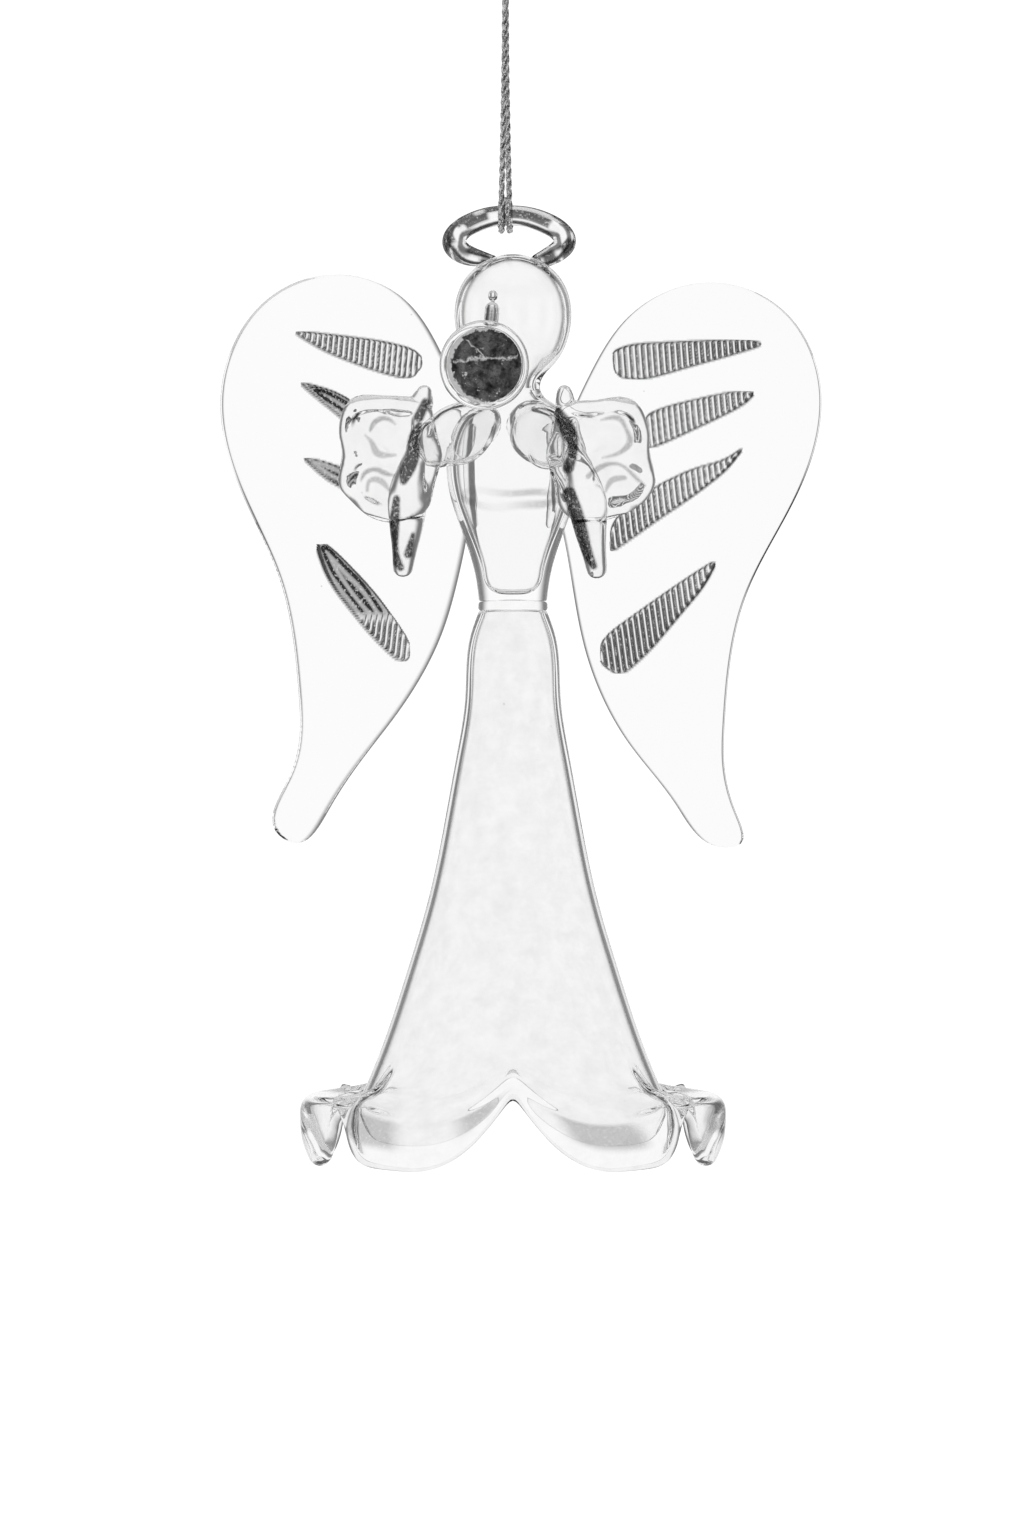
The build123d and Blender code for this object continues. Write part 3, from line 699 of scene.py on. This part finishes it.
def distance_to(points, line):
    """Signed distance from each point in a plane to a closed line: positive inside it."""
    start, end = line, np.roll(line, -1, 0)
    run = end - start
    length = (run**2).sum(1)
    best = np.full(len(points), 1e9)
    inside = np.zeros(len(points), bool)
    for a, r, n, b in zip(start, run, length, end):
        rel = points - a
        t = np.clip((rel @ r) / n, 0, 1)
        best = np.minimum(best, ((rel - t[:, None] * r) ** 2).sum(1))
        crosses = (a[1] > points[:, 1]) != (b[1] > points[:, 1])
        if crosses.any():
            inside ^= crosses & (points[:, 0] < a[0] + (points[:, 1] - a[1]) * r[0] / (r[1] or 1e-12))
    return np.where(inside, 1, -1) * np.sqrt(best)


def leaf_line(corners):
    """A groove's outline: straight between its corners, which are a little rounded."""
    line = np.array(corners, float)
    for _ in range(3):
        after = np.roll(line, -1, 0)
        line = np.stack([0.8 * line + 0.2 * after, 0.2 * line + 0.8 * after], 1).reshape(-1, 2)
    return line


def sides_of(edge, z):
    """Where the inner and the outer side of a closed outline are at each height."""
    edge = np.roll(edge, -np.argmax(edge[:, 1]), 0)
    bottom = np.argmin(edge[:, 1])
    one, two = (np.interp(-z, -line[:, 1], line[:, 0])
                for line in (edge[:bottom + 1], np.vstack([edge[bottom:], edge[:1]])[::-1]))
    return np.minimum(one, two), np.maximum(one, two)


def wing_face(inner, outer, z, columns):
    """Points across each level of a wing, close together near its edges."""
    width = outer - inner
    edge = np.minimum(1.4, 0.35 * width)
    near = (1 - np.cos(np.linspace(0, math.pi / 2, EDGE_COLUMNS)))[None, :] * edge[:, None]
    middle = np.linspace(0, 1, columns - 2 * EDGE_COLUMNS + 2)[None, 1:-1]
    across = np.hstack([near, edge[:, None] + middle * (width - 2 * edge)[:, None],
                        width[:, None] - near[:, ::-1]])
    return np.stack([inner[:, None] + across, np.repeat(z[:, None], across.shape[1], 1)], 2)


def plate_sides(side, turn):
    """The directions outward along a plate and to its rear. Turn is how far back its outer end goes."""
    return (np.array([side * math.cos(turn), math.sin(turn), 0]),
            np.array([-side * math.sin(turn), math.cos(turn), 0]))


def on_plate(flat, away, root, outward, rear):
    """Flat (outward, up) points placed on a plate, away from its middle toward its rear."""
    return root + flat[:, :1] * outward + flat[:, 1:] * np.array([[0, 0, 1]]) + away[:, None] * rear


def make_wing(outline, grooves, root_x, sweep, thick, side, slant, plain):
    """A pressed plate with ribbed grooves in its front, and a test of which of its faces are in a groove.

    Slant tips each groove's ribs. Above a height in plain, a groove has no ribs and is painted solid dark;
    below it, painted shade darkens its rib hollows and outline."""
    edge = smooth_line(outline, 700, closed=True)
    edge = np.roll(edge, -np.argmax(edge[:, 1]), 0)
    top, bottom = edge[:, 1].max(), edge[:, 1].min()
    level = np.sin(np.linspace(-math.pi / 2, math.pi / 2, WING_ROWS))
    level = 0.55 * level + 0.45 * np.linspace(-1, 1, WING_ROWS)
    z = (top + bottom) / 2 - (top - bottom) / 2 * level
    z[0], z[-1] = top, bottom
    front, back = (wing_face(*sides_of(edge, z), z, count) for count in (FRONT_COLUMNS, BACK_COLUMNS))

    def height(flat):
        depth = np.clip(distance_to(flat, edge[::3]), 0, WING_RIM) / WING_RIM
        return thick / 2 * np.sqrt(np.clip(1 - (1 - depth) ** 2, 0, 1))

    flat = front.reshape(-1, 2)
    front_height = height(flat)
    shade = np.zeros(len(flat))
    for k, groove in enumerate(grooves):
        leaf = leaf_line(groove)
        near = ((flat > leaf.min(0) - 1) & (flat < leaf.max(0) + 1)).all(1)
        spot = flat[near]
        depth = distance_to(spot, leaf)
        bowl = fade(depth / GROOVE_EDGE + 0.15)
        lip = LIP_HEIGHT * np.exp(-((depth + GROOVE_EDGE) / LIP_WIDTH) ** 2)
        rib = np.cos(2 * math.pi * (spot[:, 0] + slant[k] * spot[:, 1]) / RIB_PITCH)
        ribs = RIB_HEIGHT * fade(depth / 0.25) * (0.5 + 0.5 * rib)
        plain_and_shaded = fade((spot[:, 1] - plain[k]) / 2)
        ribs = ribs * (1 - plain_and_shaded)
        # Painted shade in the groove: dark rib hollows, a dark outline, a light grey wash, and solid dark
        # with lighter streaks where it is plain.
        streak = 0.85 + 0.15 * np.sin(depth * 5.5 + 0.5 * np.sin(spot[:, 0]) + 0.3 * spot[:, 1])
        painted_rib_shade = fade((0.1 - rib) / 0.4) * fade((depth + 0.02) / 0.12) * (1 - plain_and_shaded)
        painted_edge_shade = np.exp(-((depth - 0.04) / 0.22) ** 2)
        painted_groove_shade = (0.1 + plain_and_shaded * streak) * fade(depth / 0.2)
        front_height[near] += lip - GROOVE_DEPTH * bowl + ribs
        shade[near] = np.maximum.reduce([shade[near], painted_rib_shade, painted_edge_shade, painted_groove_shade])
    back_height = height(back.reshape(-1, 2))

    outward, rear = plate_sides(side, math.radians(sweep))
    root = np.array([root_x, WING_BACK, 0]) + rear * thick / 2
    front_points = on_plate(flat, -front_height, root, outward, rear)
    back_points = on_plate(back.reshape(-1, 2), back_height, root, outward, rear)
    points, faces = joined((front_points, quads(WING_ROWS, FRONT_COLUMNS)),
                           (back_points, quads(WING_ROWS, BACK_COLUMNS)[:, ::-1]))
    points = pressed_out(points)
    shade = np.concatenate([shade, np.zeros(len(back_height))])

    def in_groove(centres):
        rel = centres - root
        flat, away = np.stack([rel @ outward, rel[:, 2]], 1), rel @ rear
        picked = np.zeros(len(flat), bool)
        for groove in grooves:
            leaf = leaf_line(groove)
            near = ((flat > leaf.min(0)) & (flat < leaf.max(0))).all(1) & (away < thick * 0.45)
            picked[near] |= distance_to(flat[near], leaf) > -GROOVE_REACH
        return picked

    return (points, facing(points - root, faces), shade), in_groove


NEVER = 0.0  # above every groove
for name, outline, grooves, root_x, sweep, thick, side, slant, plain in (
        ("left_wing", LEFT_WING, LEFT_GROOVES, -6.5, 26.0, 2.33, -1, [0.1, 0.1, 0.1, 0.12],
         [NEVER, -78.0, -88.0, -99.0]),
        ("right_wing", RIGHT_WING, RIGHT_GROOVES, 7.4, 15.0, 2.07, 1, [0.08, 0.1, 0.12, 0.14], [NEVER] * 4)):
    form, in_groove = make_wing(outline, grooves, root_x, sweep, thick, side, slant, plain)
    add_material(glass(name, form, [name], wing_glass), groove_glass, in_groove)


# ---- swept rods and drops
CAP_ROWS = 8
STRIP_SOFT = 0.35  # the width over which a strip of lustre fades
VOXEL, SOFTEN_PASSES = 0.2, 14


def rod(line, radii, sides, flutes=0, flute=0.0, twist=0.0):
    """A round-ended rod along a line, with a radius at each point."""
    line, radii = np.asarray(line, float), np.asarray(radii, float)
    across, over = frames_along(line)
    along = lengths(line)
    tangent = np.cross(across, over)
    around = circle(sides)

    def cap(end, sign):
        turn = np.linspace(0, math.pi / 2, CAP_ROWS + 1)[1:]
        return [(line[end] + sign * tangent[end] * radii[end] * math.sin(a), radii[end] * math.cos(a), end)
                for a in turn]

    rows = cap(0, -1)[::-1] + [(line[i], radii[i], i) for i in range(len(line))] + cap(-1, 1)
    centres, sizes, at = (np.array(column) for column in zip(*rows))
    r = sizes[:, None] * (1 + flute * np.cos(flutes * around + twist * along[at][:, None]))
    points = ringed(centres, r, around, across[at], over[at])
    faces = quads(len(rows), sides, wrap_columns=True)
    return points, facing(points - line[0], faces)


def near_strips(points, strips):
    """How much painted shade lies on each point.

    Each strip is how dark it is, then a line of (x, z, half width) as seen from the front."""
    most = np.zeros(len(points))
    for dark, *line in strips:
        x, z, half = smooth_line(line, 60).T
        off = np.hypot(points[:, 0:1] - x, points[:, 2:3] - z) - half
        most = np.maximum(most, dark * fade(0.5 - off.min(1) / min(STRIP_SOFT, 2 * half.max())))
    return most


def fused(name, forms, nodes, material, strips):
    """Several forms melted into one piece of glass, with strips of painted shade on its front."""
    thing = new_object(name, *joined(*forms))
    remesh = thing.modifiers.new("melt", "REMESH")
    remesh.mode, remesh.voxel_size = "VOXEL", VOXEL * MM
    soften = thing.modifiers.new("soften", "SMOOTH")
    soften.factor, soften.iterations = 0.5, SOFTEN_PASSES
    bpy.context.view_layer.update()
    done = bpy.data.meshes.new_from_object(thing.evaluated_get(bpy.context.evaluated_depsgraph_get()))
    thing.modifiers.clear()
    thing.data = done
    done.name = name
    co = pressed_out(vectors(done.vertices, "co") / MM)
    done.vertices.foreach_set("co", (co * MM).ravel())
    done.update()
    to_rear = vectors(done.vertices, "normal")[:, 1]
    # Painted shade from the strips, on the faces that look toward the front.
    shade = near_strips(co, strips) * fade(0.5 - (to_rear - 0.35) / 0.4)
    set_painted_shade(done, shade)
    return dress(thing, material, "angel", nodes)


# ---- halo
HALO_CENTRE, HALO_RISE = 0.48, 6.0
HALO_LEAN = math.atan2(-BODY_Y, HALO_RISE)
HALO_STEPS, HALO_SIDES = 160, 40

# The rod's centre in the halo's own plane (across, up), and its radius there.
HALO = [(-2.2, -7.9, 0.7), (-4.0, -7.5, 1.1), (-6.0, -6.6, 1.4), (-7.1, -4.9, 1.55), (-6.5, -2.9, 1.45),
        (-4.7, -1.35, 1.4), (-2.4, -0.3, 1.34), (0, 0, 1.3), (2.4, -0.3, 1.34), (4.7, -1.35, 1.4),
        (6.6, -2.9, 1.4), (7.2, -4.7, 1.45), (6.3, -6.3, 1.35), (4.9, -7.4, 1.2), (3.8, -8.1, 1.05)]

# Patches of painted shade, in place of the rod's dark reflections: middle and half length along the rod (0 to
# 1), middle and half width round it.
HALO_PAINTED_SHADE = (
    (0.1, 0.05, 2.6, 0.6), (0.06, 0.03, 1.2, 0.5), (0.25, 0.05, 1.5, 0.9), (0.33, 0.05, 2.4, 0.4),
    (0.38, 0.07, 1.6, 0.5), (0.37, 0.06, 3.0, 0.45), (0.47, 0.05, 2.2, 0.6), (0.6, 0.12, 1.6, 0.55),
    (0.6, 0.11, 3.05, 0.45), (0.74, 0.05, 1.5, 0.8), (0.84, 0.03, 1.7, 0.6), (0.92, 0.03, 1.7, 0.8))


def lifted(points):
    """The points moved up onto the head's crown where they are inside it."""
    points = points.copy()
    far = np.hypot(points[:, 0] - BODY_X, points[:, 1] - BODY_Y)
    crown = head_side[:np.argmax(head_side[:, 0])]
    top = np.interp(far, crown[:, 0], crown[:, 1]) + GAP
    inside = (far < crown[-1, 0]) & (points[:, 2] < top) & (points[:, 2] > -56)
    points[inside, 2] = top[inside]
    return points


def make_halo():
    """A bent rod whose ends melt onto the head's crown."""
    up = np.array([0, math.sin(HALO_LEAN), math.cos(HALO_LEAN)])
    flat = smooth_line(HALO, HALO_STEPS)
    line = np.array([HALO_CENTRE, 0, HALO_Z]) + flat[:, :1] * np.array([1.0, 0, 0]) + flat[:, 1:2] * up
    points, faces = rod(line, flat[:, 2], HALO_SIDES)
    rings = len(points) // HALO_SIDES
    at = np.tile(circle(HALO_SIDES), rings)
    along = np.repeat(np.linspace(0, 1, rings), HALO_SIDES)
    # Painted shade in patches on the rod.
    shade = sum(fade((half - np.abs(along - s)) / 0.02 + 0.5)
                * fade((wide - np.abs((at - a + math.pi) % (2 * math.pi) - math.pi)) / 0.12 + 0.5)
                for s, half, a, wide in HALO_PAINTED_SHADE)
    return lifted(points), faces, np.clip(shade, 0, 1)


glass("halo", make_halo(), ["halo_loop"], rod_glass)


# ---- horn
MOUTH = np.array([-1.6, BODY_Y - 7.5, -57.5])
HORN_TILT = math.radians(6.0)
FORWARD = np.array([0, -math.cos(HORN_TILT), -math.sin(HORN_TILT)])
BELL_DEPTH, BELL_SIDES = 6.0, 96
THROAT = HORN_BELL - FORWARD * BELL_DEPTH


def about_horn(profile):
    """A profile of (radius, distance forward of the throat) turned about the horn."""
    profile = np.asarray(profile, float)
    right = np.array([[1.0, 0, 0]])
    points = ringed(THROAT + profile[:, 1:] * FORWARD, profile[:, :1], circle(BELL_SIDES), right,
                    np.cross(right, FORWARD))
    faces = quads(len(profile), BELL_SIDES, wrap_columns=True)
    return points, facing(points - THROAT, faces)


flare = smooth_line([(0.9, 0.0), (1.3, 1.8), (2.6, 4.0), (5.2, 5.35)], 40)
lip = smooth_line([(5.2, 5.35), (5.55, 5.6), (5.6, 5.85), (5.45, 6.0), (5.1, 5.98), (4.85, 5.75),
                   (4.72, 5.46)], 24)
horn_profile = np.vstack([[(0, 0), (0.7, 0)], flare, lip[1:], [(4.5, 5.4), (2.0, 5.36), (0, 5.35)]])
glass("horn_bell", about_horn(horn_profile), ["horn_bell"], bell_glass)
mirror_front = smooth_line([(4.66, 5.7), (4.3, 5.84), (3.0, 5.72), (1.5, 5.64), (0.0, 5.62)], 30)
mirror_profile = np.vstack([[(0, 5.42), (4.5, 5.46), (4.62, 5.52), (4.66, 5.62)], mirror_front])
make_piece("horn_mirror", about_horn(mirror_profile), mirror, "angel", ["horn_mirror"])

TUBE_STEPS, TUBE_SIDES, BEAD_RADIUS = 70, 28, 0.58
tube_line = smooth_line([MOUTH + (0, -0.45, -0.75), (-1.95, BODY_Y - 11.6, -62.2),
                         (-2.45, BODY_Y - 15.6, -65.6), THROAT - FORWARD * 0.3], TUBE_STEPS)
share = np.linspace(0, 1, TUBE_STEPS)
tube_radii = 0.25 + 0.62 * fade(share / 0.1) + 0.06 * np.sin(share * 9)  # narrow at the mouthpiece
points, faces = rod(tube_line, tube_radii, TUBE_SIDES)
# Strips of painted shade on the tube near the mouthpiece.
mouth_strips = [(0.95, (-2.15, -58.9, 0.1), (-2.35, -60.4, 0.22), (-2.6, -62.0, 0.2)),
                (0.8, (-1.7, -59.6, 0.1), (-1.85, -61.0, 0.2), (-2.0, -62.4, 0.15))]
glass("horn_tube", (points, faces, near_strips(points, mouth_strips)), ["horn_tube"], rod_glass)
bead_line = [MOUTH + (0, 0.1, 0.12), MOUTH + (0, -0.02, -0.1)]
points, faces = rod(evenly(bead_line, 4), [BEAD_RADIUS] * 4, TUBE_SIDES)
# A strip of painted shade across the mouthpiece bead.
bead_strips = [(0.8, (-2.0, -57.9, 0.08), (-1.6, -58.05, 0.1), (-1.2, -57.8, 0.08))]
glass("horn_mouthpiece", (points, faces, near_strips(points, bead_strips)), ["horn_mouthpiece"], rod_glass)


# ---- wing seams
def make_seam(x, side):
    """The lump of glass that fuses a wing to the back."""
    line = evenly([(x, BODY_Y + 6.4, -73.5), (x, BODY_Y + 6.3, -80.0),
                   (x - side * 0.4, BODY_Y + 5.9, -86.0)], 40)
    t = np.linspace(0, 1, 40)
    return rod(line, 1.2 - 0.3 * t + 0.1 * np.sin(t * 11), 32)


# ---- arms, sleeves
LEFT = {
    "side": -1,
    # Strips of painted shade: darkest down the drop, greyer along the sleeve's swirls.
    "shade_strips": [
        (1.0, (-10.1, -71.4, 0.6), (-11.0, -73.3, 0.7)),
        (1.0, (-10.9, -74.2, 0.4), (-11.6, -76.1, 0.8), (-11.7, -78.0, 0.9), (-12.4, -79.9, 1.0),
         (-12.9, -81.5, 0.5)),
        (1.0, (-13.8, -83.7, 0.5), (-14.2, -87.6, 0.8), (-14.2, -90.7, 0.8), (-13.3, -92.4, 0.5)),
        (1.0, (-11.7, -88.2, 0.3), (-12.3, -90.7, 0.6)),
        (0.75, (-17.2, -74.8, 0.2), (-16.6, -73.7, 0.35), (-15.3, -73.3, 0.3), (-14.0, -74.1, 0.1)),
        (0.65, (-17.9, -75.4, 0.1), (-17.0, -76.4, 0.3), (-16.5, -77.5, 0.45), (-14.0, -78.0, 0.15)),
        (0.75, (-18.4, -81.2, 0.1), (-17.9, -80.2, 0.3), (-16.6, -79.8, 0.3), (-15.1, -80.4, 0.3),
         (-14.2, -80.6, 0.1)),
        (0.65, (-17.6, -82.5, 0.2), (-17.2, -81.2, 0.3), (-16.1, -81.2, 0.4), (-14.8, -82.5, 0.15))],
    "shoulder": (-3.6, BODY_Y - 6.0, -74.0), "elbow": (-8.6, BODY_Y - 9.6, -75.6),
    "drop_top": (-10.7, BODY_Y - 10.4, -70.7), "drop_tip": (-13.0, BODY_Y - 10.8, -92.2),
    "hand": (-10.1, BODY_Y - 10.7, -70.3), "sleeve_at": (-11.6, BODY_Y - 10.3),
    "sleeve": [(-0.6, -70.9), (4.0, -70.3), (8.6, -70.6), (9.6, -71.6), (9.9, -77.0), (9.9, -82.4),
               (9.0, -83.6), (4.6, -86.4), (-0.4, -86.0)],
}
RIGHT = {
    "side": 1,
    # Strips of painted shade: darkest down the drop, greyer along the sleeve's swirls.
    "shade_strips": [
        (1.0, (6.6, -72.5, 0.6), (8.2, -75.5, 1.0), (8.6, -77.1, 0.7), (8.0, -79.7, 0.8)),
        (1.0, (8.1, -83.0, 0.9), (9.3, -86.5, 0.9), (10.5, -90.7, 0.7), (11.2, -92.2, 0.5)),
        (0.7, (12.2, -73.5, 0.1), (14.6, -73.3, 0.35), (15.5, -74.8, 0.25), (15.9, -76.1, 0.4),
         (14.9, -77.4, 0.3), (12.4, -78.3, 0.1)),
        (0.7, (10.5, -80.9, 0.3), (12.0, -79.6, 0.35), (14.6, -79.1, 0.2), (16.5, -80.6, 0.25),
         (17.8, -81.8, 0.15)),
        (0.65, (12.7, -82.8, 0.1), (13.6, -81.2, 0.4), (15.2, -80.8, 0.3))],
    "shoulder": (3.6, BODY_Y - 6.4, -74.0), "elbow": (5.4, BODY_Y - 9.4, -75.8),
    "drop_top": (7.6, BODY_Y - 10.4, -70.7), "drop_tip": (11.6, BODY_Y - 10.8, -92.4),
    "hand": (7.3, BODY_Y - 10.7, -70.3), "sleeve_at": (8.3, BODY_Y - 10.2),
    "sleeve": [(-0.4, -71.2), (3.4, -70.9), (7.4, -70.4), (9.4, -71.4), (10.6, -76.0), (11.3, -80.0),
               (10.8, -83.0), (5.4, -86.1), (0.6, -86.4)],
}
SLEEVE_TURN = math.radians(20.0)
SLEEVE_RIDGES, RIDGE_PITCH = (-71.6, -78.3, -85.0), 6.7
SLEEVE_ROWS, SLEEVE_COLUMNS = 90, 60
POCKET_HALF, RIDGE_HALF, RIM_HALF, RIM_WIDTH = 0.5, 0.66, 0.5, 1.2
ARM_WALL, ARM_RADIUS, ARM_SWELL = 0.6, 3.3, 0.7
ARM_STEPS, ARM_SIDES = 40, 72
DROP_RADII = ((0, 1.1), (0.3, 1.4), (0.5, 2.1), (0.62, 2.4), (0.82, 2.0), (1, 1.4))  # by the share down
DROP_STEPS, DROP_SIDES = 110, 56
NUB_RADIUS, NUB_SIDES = 1.0, 24


def make_sleeve(arm):
    """A pressed plate with a thick rim and level ridges, and thin pockets between them."""
    edge = smooth_line(arm["sleeve"], 220, closed=True)
    z = np.linspace(edge[:, 1].min(), edge[:, 1].max(), SLEEVE_ROWS)
    inner, outer = sides_of(edge, z)
    across = (1 - np.cos(np.linspace(0, math.pi, SLEEVE_COLUMNS))) / 2
    flat = np.stack([inner[:, None] + across * (outer - inner)[:, None],
                     np.repeat(z[:, None], SLEEVE_COLUMNS, 1)], 2).reshape(-1, 2)
    depth = np.clip(distance_to(flat, edge), 0, None)
    u, v = flat.T
    ridge = sum(np.exp(-((v - r - 0.45 * np.sin(0.75 * u + r)) / (1.15 + 0.25 * np.sin(u * 0.9 + r))) ** 2)
                for r in SLEEVE_RIDGES)
    swirl = 0.16 * np.sin(1.1 * u + 0.9 * np.sin(0.9 * v)) * np.cos(1.0 * v + 0.6 * np.sin(u))
    rim = RIM_HALF * np.exp(-((depth - 1.0) / 0.9) ** 2)
    half = POCKET_HALF + RIDGE_HALF * ridge + rim + swirl * (1 - ridge)
    half = half * np.sqrt(np.clip(1 - (1 - np.clip(depth / RIM_WIDTH, 0, 1)) ** 2, 0, 1))
    bend = 0.55 * np.cos((v - SLEEVE_RIDGES[0]) * 2 * math.pi / RIDGE_PITCH)
    bend = bend + 0.35 * np.sin(u * 0.9 + v * 0.3)
    directions = plate_sides(arm["side"], SLEEVE_TURN)
    root = np.array([*arm["sleeve_at"], 0])
    front, back = (on_plate(flat, away, root, *directions) for away in (bend - half, bend + half))
    grid = quads(SLEEVE_ROWS, SLEEVE_COLUMNS)
    points, faces = joined((front, grid), (back, grid[:, ::-1]))
    return points, facing(points - root, faces)


def make_arm(name, arm):
    """The hollow upper arm, and the sleeve with the hand's nub and the drop at its mouth melted onto it."""
    side = arm["side"]
    shoulder, elbow = np.array(arm["shoulder"]), np.array(arm["elbow"]) + (0, 0, -0.9)
    t = np.linspace(0, 1, ARM_STEPS)
    line = evenly([shoulder, elbow], ARM_STEPS)
    radii = ARM_RADIUS - 0.2 * t + ARM_SWELL * np.sin(math.pi * t)
    points, faces = rod(line, radii, ARM_SIDES)
    within, within_faces = rod(line, radii - ARM_WALL, ARM_SIDES)
    within = pressed_out(within, ARM_WALL)
    glass(f"{name}_arm", joined((pressed_out(points), faces), (within, within_faces[:, ::-1])),
          [f"{name}_arm"], arm_glass)

    top, tip = np.array(arm["drop_top"]), np.array(arm["drop_tip"])
    middle = (top + tip) / 2 + (side * 0.3, -0.2, 0)
    line = smooth_line([top, (top + middle) / 2 + (-side * 0.5, 0, 0), middle, (middle + tip) / 2, tip],
                       DROP_STEPS)
    radii = np.interp(np.linspace(0, 1, DROP_STEPS), *np.transpose(DROP_RADII))
    drop = rod(line, radii, DROP_SIDES, flutes=2, flute=0.07, twist=0.5)

    hand = np.array(arm["hand"])
    nub = rod(evenly([hand + (0, 0, -1.2), hand + (side * 0.2, -0.1, 0.2)], 6), [NUB_RADIUS] * 6, NUB_SIDES)
    fused(f"{name}_sleeve", [nub, drop, make_sleeve(arm)],
          [f"{name}_sleeve", f"{name}_sleeve_drop", f"{name}_hand"], sleeve_glass, arm["shade_strips"])


make_arm("left", LEFT)
make_arm("right", RIGHT)
for name, x, side in (("left_wing_seam", -5.2, -1), ("right_wing_seam", 6.8, 1)):
    points, faces = make_seam(x, side)
    glass(name, (pressed_out(points), faces), [name], skirt_glass)


# ---- studio
# The world is white to the camera. What the glass bends and mirrors has dark zones, which draw its edges.
PANELS = 8.0  # bright panels round the studio
BACKDROP = 1.1
world = bpy.data.worlds.new("studio")
bpy.context.scene.world = world
world.use_nodes = True
sky = Tree(world.node_tree)
direction = sky.add("ShaderNodeTexCoord").outputs["Generated"]
split = sky.add("ShaderNodeSeparateXYZ", {0: direction})
azimuth = sky.math("ARCTAN2", split.outputs[1], split.outputs[0])
zones = sky.math("COSINE", sky.times(azimuth, PANELS))
upright = sky.ramp(zones, -0.8, 0.4, 0.2, 1.0)
height = sky.math("ABSOLUTE", split.outputs[2])
upright = sky.math("MAXIMUM", upright, sky.ramp(height, 0.75, 0.9))
band = sky.ramp(sky.math("ABSOLUTE", sky.minus(height, 0.6)), 0.08, 0.26, 0.04, 1.0)
lit = sky.times(upright, band)
seen = sky.add("ShaderNodeLightPath").outputs["Is Camera Ray"]
strength = sky.add("ShaderNodeMix", {0: seen, 2: lit, 3: BACKDROP}, data_type="FLOAT").outputs[0]
background = sky.add("ShaderNodeBackground", {"Color": (1, 1, 1, 1), "Strength": strength})
output = sky.add("ShaderNodeOutputWorld")
world.node_tree.links.new(background.outputs[0], output.inputs["Surface"])

FLOOR_Z, FLOOR_RADIUS = -0.42, 1.3  # metres
bpy.ops.mesh.primitive_circle_add(vertices=96, radius=FLOOR_RADIUS, fill_type="NGON",
                                  location=(0, 0, FLOOR_Z))
floor = bpy.context.object
floor.name = "floor"
floor_material, tree, _ = new_material("floor")
surface(tree, tree.add("ShaderNodeBsdfPrincipled", {"Base Color": (0.9, 0.9, 0.9, 1), "Roughness": 0.7}))
floor.data.materials.append(floor_material)


light_data = bpy.data.lights.new("top", "AREA")
light_data.shape, light_data.size, light_data.energy = "DISK", 1.6, 14
light = bpy.data.objects.new("top", light_data)
light.location = (0, 0, 1.6)
light.visible_glossy = light.visible_transmission = False
link(light)

GLASS_BOUNCES, MIRROR_BOUNCES = 24, 8
scene = bpy.context.scene
scene.view_settings.view_transform = "Standard"
scene.view_settings.look = "None"
scene.cycles.max_bounces = scene.cycles.transmission_bounces = GLASS_BOUNCES
scene.cycles.glossy_bounces = MIRROR_BOUNCES
scene.cycles.caustics_refractive = True
